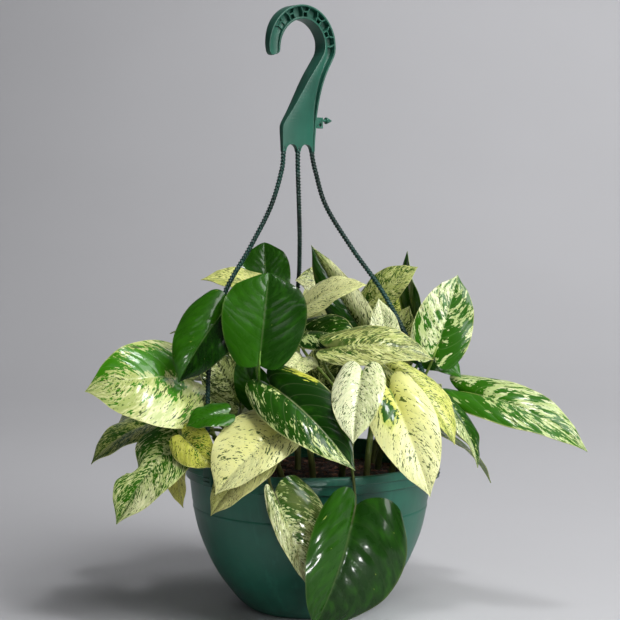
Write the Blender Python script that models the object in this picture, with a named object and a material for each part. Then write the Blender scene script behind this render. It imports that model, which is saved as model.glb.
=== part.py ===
"""Devil's ivy in a moulded hanging pot that stands on its foot.

The pot is filled with potting mix, leafy vines are rooted in it, and a
one-piece hanger with a hook, a paddle and three strands clips to the rim.
Metres, +Z up. The origin is the middle of the pot's flat foot. The front,
the side that is looked at, is -Y, and +X is on the right.
"""
import math
import random

import bmesh
import bpy
from mathutils import Matrix, Quaternion, Vector
from mathutils.bvhtree import BVHTree

MM = 0.001
UP = Vector((0, 0, 1))
FIT = 0.3                    # clearance that touching pieces keep, in millimetres

# Pot: radius and height of the outside, foot to rim, in millimetres
POT_SIDES = 36
FOOT_RADIUS = 46.0
POT_OUTSIDE = ((51.0, 1.2), (58.5, 7.4), (66.8, 17.6), (75.0, 29.2), (83.0, 44.6),
               (90.4, 64.0), (94.6, 84.0), (97.2, 106.4))
WALL = 2.0
FLOOR = 3.0
BAND_RADIUS, BAND_FOOT = 100.0, 107.6
LIP_RADIUS, LIP_FOOT, RIM_HEIGHT = 102.6, 114.8, 121.0
SLOT_HALF, SLOT_FOOT, SLOT_TOP = 4.1, BAND_FOOT + 1, BAND_FOOT + 6   # one slot for each clip
DRAIN_HOLES, DRAIN_RADIUS, DRAIN_CIRCLE, DRAIN_SIDES = 4, 4.5, 30.0, 8

# Potting mix
MIX_RADIUS, MIX_EDGE_HEIGHT, MIX_MIDDLE_HEIGHT = 94.2, 104.0, 109.0
HOLE_DEPTH = 11.0

# Hanger: the hook stands in a plane turned about Z
HOOK_TURN = math.radians(40)
HOOK_X = -8.2
HOOK_CENTRE_HEIGHT = 448.4
HOOK_OUTER, HOOK_INNER = 32.8, 21.6
FLANGE, THIN_FLANGE, WEB = 1.7, 1.5, 1.2     # inner and outer edge flange, half the web
# Rounded tip and arc of the hook: turn in degrees, share of the width, half depth
HOOK_TIP = ((196, 0.40, 1.6), (194, 0.74, 2.3), (189, 0.95, 2.6), (178, 1, 3.0), (163, 1, 3.7))
HOOK_ARC = ((148, 4.5), (133, 5.2), (118, 5.7), (103, 6.0), (88, 6.2), (73, 6.3), (58, 6.4),
            (43, 6.4), (28, 6.4), (13, 6.4))
# Shank and paddle: height, left edge, right edge, half depth, width of the left flange
SHANK = ((445.1, 20.4, 32.2, 6.4, 3.2), (437.1, 15.4, 28.2, 6.4, 5.2), (429.0, 9.4, 23.8, 6.1, 8.4),
         (420.9, 3.8, 20.6, 5.6, 11.2), (412.8, -1.2, 18.3, 5.0, 14.4), (404.9, -6.2, 16.8, 4.3, 18.0),
         (396.9, -11.4, 15.8, 3.5, 23.0), (388.8, -17.2, 15.2, 2.7, 29.4), (384.0, -18.9, 15.2, 2.4, 31.2),
         (372.7, -18.6, 14.5, 2.0, 31.2), (365.8, -18.3, 14.3, 1.9, 31.0))
PADDLE_FOOT = 365.8
ARCH_RADIUS, ARCH_SIDES = 5.8, 16
RIB_TURNS = (132, 112, 92, 72, 52, 32)
RIB_LEAN, RIB_HALF, RIB_REACH = 8.0, 0.65, 4.6
# Label peg beside the paddle, in the hook's plane: a lug with an eye, and a barbed pin that is
# given by distance across and radius
LUG_LOW, LUG_HIGH = (14.4, -1.4, 384.6), (23.4, 1.4, 393.4)
EYE_ACROSS, EYE_HEIGHT, EYE_RADIUS, EYE_SIDES = 20.4, 387.2, 1.3, 8
PIN_HEIGHT, PIN_SIDES = 391.0, 6
PIN_SECTIONS = ((22.5, 1.1), (27.2, 1.1), (27.3, 2.7), (33.4, 0.4))
STRAND_RADIUS, STRAND_SIDES = 1.6, 5
STRAND_ROOT_RADIUS, STRAND_END_RADIUS = 2.1, 2.2
STRAND_ROOTS = (-16.8, -2.0, 12.8)
# Routes of the strands below the paddle, chosen by eye, in millimetres
STRANDS = (
    (222, ((-22.6, -12.6, 350), (-31.0, -20.0, 322), (-47.0, -33.0, 290), (-66.0, -47.5, 255),
           (-76.6, -58.0, 208), (-78.2, -66.0, 168))),
    (102, ((-9.6, 3.0, 350), (-8.8, 17.0, 322), (-8.4, 41.0, 290), (-10.0, 69.0, 255),
           (-17.5, 94.5, 208), (-21.3, 102.2, 168))),
    (-18, ((4.4, 8.4, 350), (13.0, 4.6, 322), (34.0, -4.6, 288), (58.0, -14.0, 254),
           (82.0, -24.0, 208), (97.0, -31.0, 168))),
)
CLIP_RADIUS = 104.8
# Clip: the block above the rim, the leg outside the lip, the foot through the slot and the barb
# behind the wall, each as low and high corners (out, across, height)
CLIP_FOOT, CLIP_TOP = SLOT_FOOT + FIT, RIM_HEIGHT + 2.2
CLIP_BOXES = (
    ((102.0, -4.6, CLIP_TOP), (107.4, 4.6, CLIP_TOP + 18)),
    ((LIP_RADIUS + FIT, -4.6, CLIP_FOOT), (106.2, 4.6, CLIP_TOP + 1)),
    ((94.6, -3.6, CLIP_FOOT), (105.8, 3.6, CLIP_FOOT + 3.2)),
    ((94.6, -3.6, CLIP_FOOT), (96.9, 3.6, CLIP_FOOT + 6.4)),
)

# Vines: look, root on the mix, top of the stem, in millimetres
VINES = {
    "vine_front": ("green", (24, -58), (27, -68, 135)),
    "vine_left_front": ("marbled", (-22, -52), (-30, -66, 136)),
    "vine_centre_front": ("marbled", (2, -36), (-2, -44, 152)),
    "vine_right_front": ("marbled", (44, -40), (48, -44, 152)),
    "vine_right": ("marbled", (66, -8), (76, -10, 148)),
    "vine_right_green": ("green", (56, 20), (66, 16, 152)),
    "vine_left": ("marbled", (-54, -26), (-62, -32, 140)),
    "vine_left_green": ("green", (-34, -8), (-42, -22, 154)),
    "vine_far_left": ("marbled", (-66, 10), (-78, 6, 136)),
    "vine_centre": ("marbled", (-10, 8), (-10, 10, 166)),
    "vine_centre_right": ("marbled", (26, 6), (30, 8, 160)),
    "vine_back_green": ("green", (-26, 44), (-30, 48, 152)),
    "vine_back": ("marbled", (16, 60), (18, 66, 148)),
    "vine_back_right": ("marbled", (54, 48), (60, 54, 144)),
    "vine_back_left": ("marbled", (-56, 44), (-64, 50, 144)),
}
STEM_RADIUS, STEM_TIP_RADIUS, STEM_SIDES = 2.8, 2.3, 6
PETIOLE_RADIUS, PETIOLE_TIP_RADIUS, PETIOLE_SIDES, PETIOLE_STEPS = 1.6, 1.2, 4, 4

# Leaves: name, vine, base, tip, the way the upper face looks, width, arch and lift of the
# sides as shares of the length and width, in millimetres
LEAVES = (
    ("front_heart", "vine_front", (33, -120, 104), (2, -126, 14), (0.36, -0.92, 0.22), 76, 0.10, 0.15),
    ("front_left_cream", "vine_left_front", (-18, -94, 157), (-69, -124, 113), (-0.32, -0.80, 0.50),
     56, 0.10, 0.10),
    ("over_rim", "vine_left_front", (-25, -113, 113), (2, -109, 46), (0.50, -0.85, 0.15), 42, 0.06, 0.20),
    ("front_left_under", "vine_left_front", (-34, -92, 134), (-71, -110, 93), (-0.45, -0.80, 0.35),
     34, 0.10, 0.14),
    ("front_split", "vine_centre_front", (-30, -79, 188), (33, -124, 131), (-0.12, -0.74, 0.66),
     52, 0.14, 0.16),
    ("front_speckled", "vine_centre_front", (38, -92, 199), (30, -126, 149), (-0.30, -0.90, 0.36),
     40, 0.10, 0.14),
    ("front_cream", "vine_right_front", (60, -80, 185), (88, -120, 111), (0.02, -0.88, 0.45),
     50, 0.10, 0.12),
    ("crossing_strand", "vine_centre_right", (48, 14, 212), (1, 2, 291), (-0.34, -0.90, 0.20),
     34, 0.05, 0.26),
    ("dark_upright", "vine_left_green", (-38, -88, 205), (-31, -62, 272), (0.00, -0.94, 0.30),
     66, 0.04, 0.05),
    ("left_round", "vine_left", (-89, -54, 183), (-166, -84, 168), (-0.12, -0.84, 0.50), 78, 0.16, 0.06),
    ("left_torn", "vine_left", (-97, -68, 150), (-144, -104, 87), (-0.38, -0.80, 0.46), 54, 0.08, 0.06),
    ("far_right", "vine_right", (120, -15, 175), (215, -52, 133), (-0.05, -0.62, 0.78), 46, 0.12, 0.12),
    ("right_upright", "vine_right", (98, -26, 205), (118, -8, 268), (0.10, -1.0, 0.22), 48, 0.06, 0.08),
    ("top_cream", "vine_centre", (-8, -18, 240), (44, -44, 262), (0.06, -0.66, 0.75), 34, 0.10, 0.16),
    ("long_cream", "vine_centre_right", (16, -60, 214), (94, -66, 206), (0.04, -0.62, 0.80),
     44, 0.12, 0.06),
    ("right_lime", "vine_right_front", (58, -50, 198), (108, -78, 142), (0.50, -0.58, 0.62),
     46, 0.12, 0.14),
    ("top_speckled", "vine_centre", (26, 38, 252), (-12, 24, 262), (-0.10, -0.70, 0.66), 38, 0.08, 0.08),
    ("top_yellow", "vine_centre", (-16, 6, 248), (-87, -6, 264), (-0.05, -0.42, 0.90), 44, 0.10, 0.08),
    ("dark_behind", "vine_back_green", (-35, 30, 236), (-38, 50, 292), (0.00, -0.96, 0.28),
     42, 0.04, 0.06),
    ("middle_striped", "vine_centre_right", (-8, -20, 224), (40, -44, 214), (0.10, -0.72, 0.68),
     40, 0.12, 0.12),
    ("dark_folded", "vine_left_green", (-64, -64, 244), (-93, -86, 186), (-0.30, -0.93, 0.15),
     48, 0.10, 0.20),
    ("left_yellow", "vine_left", (-92, -88, 148), (-70, -108, 126), (-0.35, -0.72, 0.60), 32, 0.10, 0.10),
    ("right_drip", "vine_right", (106, -46, 170), (131, -54, 121), (0.70, -0.45, 0.50), 30, 0.10, 0.16),
    ("right_plain", "vine_right_green", (84, 2, 208), (120, -14, 186), (0.10, -0.60, 0.78),
     34, 0.10, 0.12),
    ("right_blade", "vine_right_green", (90, 24, 216), (80, 36, 285), (-0.92, -0.38, 0.05),
     34, 0.06, 0.16),
    ("upright_cream", "vine_right_front", (62, -26, 204), (54, -22, 250), (0.15, -0.95, 0.20),
     26, 0.06, 0.10),
    ("top_right_point", "vine_centre_right", (44, 36, 242), (86, 28, 269), (-0.10, -0.86, 0.50),
     30, 0.08, 0.12),
    ("right_behind", "vine_right_green", (60, 44, 216), (78, 62, 254), (-0.20, -0.85, 0.48),
     38, 0.12, 0.10),
    ("left_small_green", "vine_left_green", (-62, -84, 166), (-92, -92, 156), (-0.30, -0.66, 0.68),
     28, 0.10, 0.10),
    ("left_hanging", "vine_far_left", (-104, -30, 137), (-99, -48, 88), (-0.70, -0.70, 0.20),
     26, 0.08, 0.10),
    ("far_left", "vine_far_left", (-112, -6, 152), (-174, -22, 118), (-0.40, -0.40, 0.80),
     48, 0.12, 0.10),
    ("left_back_edge", "vine_far_left", (-104, 26, 162), (-160, 56, 132), (-0.45, 0.20, 0.86),
     54, 0.12, 0.10),
    ("pale_middle", "vine_centre_front", (-6, -44, 206), (-20, -78, 196), (0.00, -0.60, 0.80),
     32, 0.10, 0.08),
)
ROUND_LEAVES = ("dark_upright", "dark_behind")
# Lopsided leaves: share by which one half is wider than the mean and the other narrower
LOPSIDED = {"front_heart": -0.26, "front_left_cream": 0.24, "over_rim": -0.45, "left_round": -0.14}
TORN_LEAF = "left_torn"
TEAR_PLACE, TEAR_WIDTH, TEAR_DEPTH = 0.42, 0.12, 0.62

# Leaves on the far side, spaced by a rule: vine, first azimuth, step, count, ring radius and
# height of the bases, length, and how far the tip drops for each step outwards
BACK_SEED = 7
BACK_TIERS = (
    ("vine_back_left", 150, -27, 3, 78, 158, 80, 0.62),
    ("vine_back", 80, -26, 2, 84, 154, 84, 0.70),
    ("vine_back_right", 28, -26, 2, 86, 156, 84, 0.62),
    ("vine_back_green", 126, -34, 2, 58, 196, 76, 0.10),
    ("vine_back", 70, -26, 1, 56, 206, 74, -0.10),
    ("vine_back_right", 46, -26, 1, 66, 196, 76, 0.05),
    ("vine_back_left", 160, -24, 2, 60, 204, 70, -0.15),
    ("vine_back", 72, -26, 1, 36, 232, 70, -0.45),
    ("vine_back_green", 128, -50, 1, 48, 176, 70, 0.35),
    ("vine_back_left", 156, -38, 1, 60, 180, 70, 0.28),
)

# Inner leaves, shaded by the others: a row as above, then how far up the stem the petiole starts
INNER_LEAVES = (
    ("inner_left", "vine_back_left", (-58, 8, 164), (-84, 0, 212), (-0.10, -0.94, 0.30), 40, 0.06, 0.08,
     0.30),
    ("inner_dark", "vine_left_green", (-40, 0, 164), (-56, -16, 206), (-0.10, -0.94, 0.30), 30, 0.08, 0.10,
     0.20),
    ("inner_middle", "vine_centre", (6, 24, 172), (18, 16, 222), (0.05, -0.95, 0.28), 38, 0.06, 0.10, 0.30),
    ("inner_right", "vine_back_right", (62, 30, 182), (90, 24, 230), (0.05, -0.95, 0.28), 40, 0.06, 0.08,
     0.30),
    ("inner_front_right", "vine_right_green", (66, -2, 166), (52, -12, 206), (0.05, -0.95, 0.28), 30, 0.08,
     0.10, 0.20),
    ("inner_low", "vine_back", (34, 58, 166), (46, 92, 128), (0.15, 0.66, 0.74), 36, 0.12, 0.10, 0.30),
    ("inner_low_left", "vine_back_green", (-20, 60, 170), (-34, 100, 136), (-0.10, 0.66, 0.74), 36, 0.12,
     0.10, 0.30),
    ("inner_back", "vine_back", (6, 78, 184), (-14, 126, 176), (-0.10, 0.40, 0.90), 42, 0.12, 0.10, 0.15),
    ("inner_back_right", "vine_back_right", (78, 60, 172), (112, 92, 158), (0.30, 0.35, 0.88), 38, 0.12,
     0.10, 0.15),
)

# Blade: thickness, faces along a long and a short one and across, and the form of its sides
BLADE = 0.9
ROWS, SHORT_ROWS, COLUMNS = 5, 4, 4
LONG_BLADE = 74.0
LOBES, ROUND_LOBES = 0.13, 0.05      # how far the base lobes reach back, as a share of the length
SWEEP = 0.10                 # how far the sides sweep towards the tip, likewise
RIPPLE, RIPPLE_TURN, RIPPLE_SHIFT = 1.1, 9.0, 2.2
# Petiole: how it meets the blade, as shares of the blade's length, its face and straight up
ARRIVE = (0.60, 0.55, 0.25)
STRAIGHTEST_KINK = 0.35      # least cosine between two runs of a petiole
# Bending clear: gap that is kept, number of tries, share of the full bend that the last try gets,
# and the full bend as turns about the face, the side and the length, shift and sway
CLEAR = 1.1
BEND_TRIES = 260
LAST_BEND = 0.75
FULL_TURNS = (0.6, 0.7, 0.9)
FULL_SHIFT, FULL_SWAY = 22.0, 70.0

COLOURS = {
    "pot": ((0.045, 0.190, 0.140), 0.38),
    "hanger": ((0.040, 0.170, 0.125), 0.42),
    "potting_mix": ((0.040, 0.022, 0.014), 0.95),
    "marbled": ((0.560, 0.640, 0.250), 0.40),
    "green": ((0.035, 0.170, 0.020), 0.30),
}

# Basic tools

def clear_scene():
    for thing in list(bpy.data.objects):
        bpy.data.objects.remove(thing, do_unlink=True)


def make_material(name):
    colour, roughness = COLOURS[name]
    material = bpy.data.materials.get(name)
    if material is None:
        material = bpy.data.materials.new(name)
        material.use_nodes = True
        shader = material.node_tree.nodes["Principled BSDF"]
        shader.inputs["Base Color"].default_value = (*colour, 1)
        shader.inputs["Roughness"].default_value = roughness
        shader.inputs["Metallic"].default_value = 0
    return material


def to_object(bm, name, collection=None):
    bmesh.ops.recalc_face_normals(bm, faces=bm.faces)
    mesh = bpy.data.meshes.new(name)
    bm.to_mesh(mesh)
    bm.free()
    thing = bpy.data.objects.new(name, mesh)
    (collection or bpy.context.scene.collection).objects.link(thing)
    return thing


def loft(rings):
    """A closed body through rings of points that each have the same count."""
    bm = bmesh.new()
    loops = [[bm.verts.new(Vector(point) * MM) for point in ring] for ring in rings]
    for near, far in zip(loops, loops[1:]):
        for i in range(len(near)):
            j = (i + 1) % len(near)
            bm.faces.new((near[i], near[j], far[j], far[i]))
    bm.faces.new(loops[0])
    bm.faces.new(loops[-1])
    bmesh.ops.triangulate(bm, faces=bm.faces)
    bmesh.ops.recalc_face_normals(bm, faces=bm.faces)
    return bm


def turns(sides):
    """Angles of the corners of a section with that many sides."""
    return [2 * math.pi * k / sides for k in range(sides)]


def tube_rings(path, radii, sides):
    """Rings of a round bar along a path, kept from twisting."""
    rings = []
    across = None
    for i, point in enumerate(path):
        along = (path[min(i + 1, len(path) - 1)] - path[max(i - 1, 0)]).normalized()
        if across is None:
            across = along.orthogonal().normalized() if abs(along.z) < 0.98 else Vector((1, 0, 0))
        across = (across - along * across.dot(along)).normalized()
        other = along.cross(across)
        rings.append([point + (across * math.cos(a) + other * math.sin(a)) * radii[i]
                      for a in turns(sides)])
    return rings


def box_rings(low, high, place):
    """Two rings of a box between corners, each corner put in its place by a function."""
    corners = ((0, 0), (1, 0), (1, 1), (0, 1))
    pick = (low, high)
    return [[place(Vector((pick[i][0], pick[j][1], level))) for i, j in corners]
            for level in (low[2], high[2])]


def fuse(name, bodies, look, cutters=()):
    """Joins bodies into one solid by a Boolean union on a collection, then cuts it."""
    thing = to_object(bodies[0], name)
    for operation, parts in (("UNION", bodies[1:]), ("DIFFERENCE", cutters)):
        if not parts:
            continue
        group = bpy.data.collections.new(name + "_" + operation.lower())
        pieces = [to_object(part, name + "_piece", group) for part in parts]
        modifier = thing.modifiers.new(operation.lower(), "BOOLEAN")
        modifier.operation = operation
        modifier.operand_type = "COLLECTION"
        modifier.collection = group
        modifier.solver = "EXACT"
        graph = bpy.context.evaluated_depsgraph_get()
        mesh = bpy.data.meshes.new_from_object(thing.evaluated_get(graph))
        thing.modifiers.clear()
        thing.data = mesh
        for piece in pieces:
            bpy.data.objects.remove(piece, do_unlink=True)
        bpy.data.collections.remove(group)
    finish(thing, look)
    return thing


def finish(thing, look):
    bm = bmesh.new()
    bm.from_mesh(thing.data)
    bmesh.ops.remove_doubles(bm, verts=bm.verts, dist=1e-6)
    bmesh.ops.dissolve_degenerate(bm, edges=bm.edges, dist=1e-6)
    bmesh.ops.triangulate(bm, faces=bm.faces)
    bm.to_mesh(thing.data)
    bm.free()
    thing.data.materials.clear()
    thing.data.materials.append(make_material(look))
    thing.data.shade_smooth()
    thing.data.set_sharp_from_angle(angle=math.radians(35))


def turned(profile, sides):
    """A body turned about Z from (radius, height) points that start and end on the axis."""
    bm = bmesh.new()
    verts = [bm.verts.new((radius * MM, 0, height * MM)) for radius, height in profile]
    edges = [bm.edges.new(pair) for pair in zip(verts, verts[1:])]
    bmesh.ops.spin(bm, geom=verts + edges, axis=UP, cent=(0, 0, 0), angle=2 * math.pi,
                   steps=sides, use_merge=True)
    bmesh.ops.remove_doubles(bm, verts=bm.verts, dist=1e-6)
    bmesh.ops.recalc_face_normals(bm, faces=bm.faces)
    return bm


def smooth_curve(points, steps):
    """Points of a smooth curve through the given ones, with steps between each two."""
    points = [Vector(point) for point in points]
    ends = [points[0] * 2 - points[1]] + points + [points[-1] * 2 - points[-2]]
    curve = []
    for a, b, c, d in zip(ends, ends[1:], ends[2:], ends[3:]):
        for k in range(steps):
            t = k / steps
            curve.append(0.5 * (2 * b + (c - a) * t + (2 * a - 5 * b + 4 * c - d) * t * t
                                + (3 * b - a - 3 * c + d) * t ** 3))
    return curve + [points[-1]]


# Pot

def pot_profile():
    inside = [(radius - WALL, height + 0.6) for radius, height in POT_OUTSIDE[1::2]]
    return ([(0, 0), (FOOT_RADIUS, 0)] + list(POT_OUTSIDE)
            + [(BAND_RADIUS, BAND_FOOT), (BAND_RADIUS, LIP_FOOT - 0.6), (LIP_RADIUS, LIP_FOOT),
               (LIP_RADIUS, RIM_HEIGHT - 1.2), (LIP_RADIUS - 1.2, RIM_HEIGHT),
               (BAND_RADIUS - WALL, RIM_HEIGHT), (BAND_RADIUS - WALL - 0.4, BAND_FOOT + 1.0)]
            + inside[::-1] + [(FOOT_RADIUS, FLOOR), (0, FLOOR)])


def clip_place(azimuth):
    """Turns (out, across, height) at a clip into a point of the model."""
    turn = Matrix.Rotation(math.radians(azimuth), 4, "Z")
    return lambda point: turn @ Vector(point)


def build_pot():
    low, high = (90, -SLOT_HALF, SLOT_FOOT), (110, SLOT_HALF, SLOT_TOP)
    slots = [loft(box_rings(low, high, clip_place(azimuth))) for azimuth, _ in STRANDS]
    drains = []
    for i in range(DRAIN_HOLES):
        turn = 2 * math.pi * (i + 0.5) / DRAIN_HOLES
        foot = Vector((math.cos(turn), math.sin(turn), 0)) * DRAIN_CIRCLE
        path = [foot - UP * 2, foot + UP * (FLOOR + 2)]
        drains.append(loft(tube_rings(path, (DRAIN_RADIUS, DRAIN_RADIUS), DRAIN_SIDES)))
    return fuse("pot", [turned(pot_profile(), POT_SIDES)], "pot", slots + drains)


# Potting mix

def mix_height(x, y):
    """Height of the mix, a low mound."""
    share = math.hypot(x, y) / MIX_RADIUS
    return MIX_MIDDLE_HEIGHT + (MIX_EDGE_HEIGHT - MIX_MIDDLE_HEIGHT) * share ** 2


def build_mix():
    wall = [(radius - WALL - FIT - 0.1, height + 1.2) for radius, height in POT_OUTSIDE[1:-1:2]]
    side = [(0, FLOOR + FIT), (FOOT_RADIUS - 1, FLOOR + FIT)] + wall
    top = [(radius, mix_height(radius, 0)) for radius in (MIX_RADIUS, MIX_RADIUS * 0.6, 0)]
    bm = turned(side + top, POT_SIDES)
    holes = []
    for _, (x, y), _ in VINES.values():
        floor = mix_height(x, y) - HOLE_DEPTH
        path = [Vector((x, y, floor)), Vector((x, y, floor + 30))]
        radius = (STEM_RADIUS + FIT) / math.cos(math.pi / STEM_SIDES)
        holes.append(loft(tube_rings(path, (radius, radius), STEM_SIDES)))
    return fuse("potting_mix", [bm], "potting_mix", holes)


# Hanger

def in_hook(across, height, out=0.0):
    """A point of the hook's own plane, out towards the front, in the model."""
    return Vector((HOOK_X + across * math.cos(HOOK_TURN) + out * math.sin(HOOK_TURN),
                   across * math.sin(HOOK_TURN) - out * math.cos(HOOK_TURN), height))


def hook_stations():
    """Inner and outer edge, half depth and inner flange along the hook, tip to paddle."""
    middle, half = (HOOK_OUTER + HOOK_INNER) / 2, (HOOK_OUTER - HOOK_INNER) / 2
    centre = Vector((0, HOOK_CENTRE_HEIGHT))
    path = []
    for turn, share, depth in HOOK_TIP + tuple((turn, 1, depth) for turn, depth in HOOK_ARC):
        spread = Vector((math.cos(math.radians(turn)), math.sin(math.radians(turn))))
        path.append((centre + spread * (middle - half * share), centre + spread * (middle + half * share),
                     depth, FLANGE))
    for height, left, right, depth, flange in SHANK:
        path.append((Vector((left, height)), Vector((right, height)), depth, flange))
    return path


def channel_ring(inner, outer, depth, inner_flange):
    """Section of the hook: a web between two flanges, open to the front and the back."""
    across = (outer - inner).normalized()
    first, second = inner + across * inner_flange, outer - across * THIN_FLANGE
    if (second - first).dot(across) < 0.2:
        first = second = (inner + outer) / 2
        first, second = first - across * 0.1, second + across * 0.1
    web = min(WEB, depth - 0.6)
    half = [(inner, depth), (first, depth), (first, web), (second, web), (second, depth), (outer, depth)]
    ring = half + [(point, -out) for point, out in reversed(half)]
    return [in_hook(point.x, point.y, out) for point, out in ring]


def hook_ribs():
    """Stiffening ribs that stand zigzag in the channel."""
    inner, outer = HOOK_INNER + 0.5, HOOK_OUTER - 0.5
    leans = [RIB_LEAN if i % 2 else -RIB_LEAN for i in range(len(RIB_TURNS))]
    spans = [(turn + lean, turn - lean) for turn, lean in zip(RIB_TURNS, leans)]
    ribs = []
    for first, last in spans:
        start, end = [Vector((math.cos(math.radians(turn)), math.sin(math.radians(turn)))) * radius
                      for turn, radius in ((first, inner), (last, outer))]
        side = (end - start).normalized()
        side = Vector((-side.y, side.x)) * RIB_HALF
        corners = (start - side, start + side, end + side, end - side)
        ribs.append(loft([[in_hook(c.x, HOOK_CENTRE_HEIGHT + c.y, out) for c in corners]
                          for out in (-RIB_REACH, RIB_REACH)]))
    return ribs


def hole_through(across, height, radius, sides):
    """Cutter of a round hole from the front of the hook to its back."""
    return loft([[in_hook(across + radius * math.cos(a), height + radius * math.sin(a), out)
                  for a in turns(sides)] for out in (-5, 5)])


def label_peg():
    """Lug on the shank with an eye below it and a barbed pin for a plant label."""
    lug = loft(box_rings(LUG_LOW, LUG_HIGH, lambda point: in_hook(point.x, point.z, point.y)))
    pin = loft([[in_hook(across, PIN_HEIGHT + radius * math.cos(a), radius * math.sin(a))
                 for a in turns(PIN_SIDES)] for across, radius in PIN_SECTIONS])
    return lug, pin, hole_through(EYE_ACROSS, EYE_HEIGHT, EYE_RADIUS, EYE_SIDES)


def strand_path(index):
    azimuth, route = STRANDS[index]
    clip = clip_place(azimuth)
    root = [in_hook(STRAND_ROOTS[index], PADDLE_FOOT + rise) for rise in (4, -2)]
    end = [clip((CLIP_RADIUS, 0, RIM_HEIGHT + rise)) for rise in (22, 10)]
    return smooth_curve(root + list(route) + end, 2)


def clip_bodies(azimuth):
    """Toggle that hooks one strand to the rim."""
    return [loft(box_rings(low, high, clip_place(azimuth))) for low, high in CLIP_BOXES]


def build_hanger():
    hook = loft([channel_ring(*station) for station in hook_stations()])
    lug, pin, eye = label_peg()
    bodies = [hook] + hook_ribs() + [lug, pin]
    for index, (azimuth, _) in enumerate(STRANDS):
        path = strand_path(index)
        radii = [STRAND_ROOT_RADIUS] * 2 + [STRAND_RADIUS] * (len(path) - 4) + [STRAND_END_RADIUS] * 2
        bodies.append(loft(tube_rings(path, radii, STRAND_SIDES)))
        bodies += clip_bodies(azimuth)
    arches = [hole_through((left + right) / 2, PADDLE_FOOT, ARCH_RADIUS, ARCH_SIDES)
              for left, right in zip(STRAND_ROOTS, STRAND_ROOTS[1:])]
    return fuse("hanger", bodies, "hanger", arches + [eye])


# Leaves

def half_width(share, is_round):
    """Outline of a blade: half its width, as a share of the widest, from base to tip."""
    if is_round:
        return max(0.03, (1 - share) ** 0.72 * (share + 0.10) ** 0.55 / 0.487)
    return max(0.03, (1 - share) * (share + 0.12) ** 0.45 / 0.480)


def back_leaves():
    """Leaves on the far side of the plant, in rings, each a little different."""
    draw = random.Random(BACK_SEED)
    leaves = []
    for tier, (vine, first, step, count, ring, height, length, drop) in enumerate(BACK_TIERS):
        for i in range(count):
            turn = math.radians(first + step * i + draw.uniform(-5, 5))
            out = Vector((math.cos(turn), math.sin(turn), 0))
            long = length * draw.uniform(0.9, 1.1)
            base = out * (ring + draw.uniform(-4, 4)) + UP * (height + draw.uniform(-6, 6))
            tip = base + (out - UP * drop).normalized() * long
            face = UP + out * (0.35 + drop * 0.5)
            leaves.append((f"back_{tier}_{i}", vine, base, tip, face, long * draw.uniform(0.60, 0.70),
                           0.12, 0.10))
    return leaves


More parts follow.
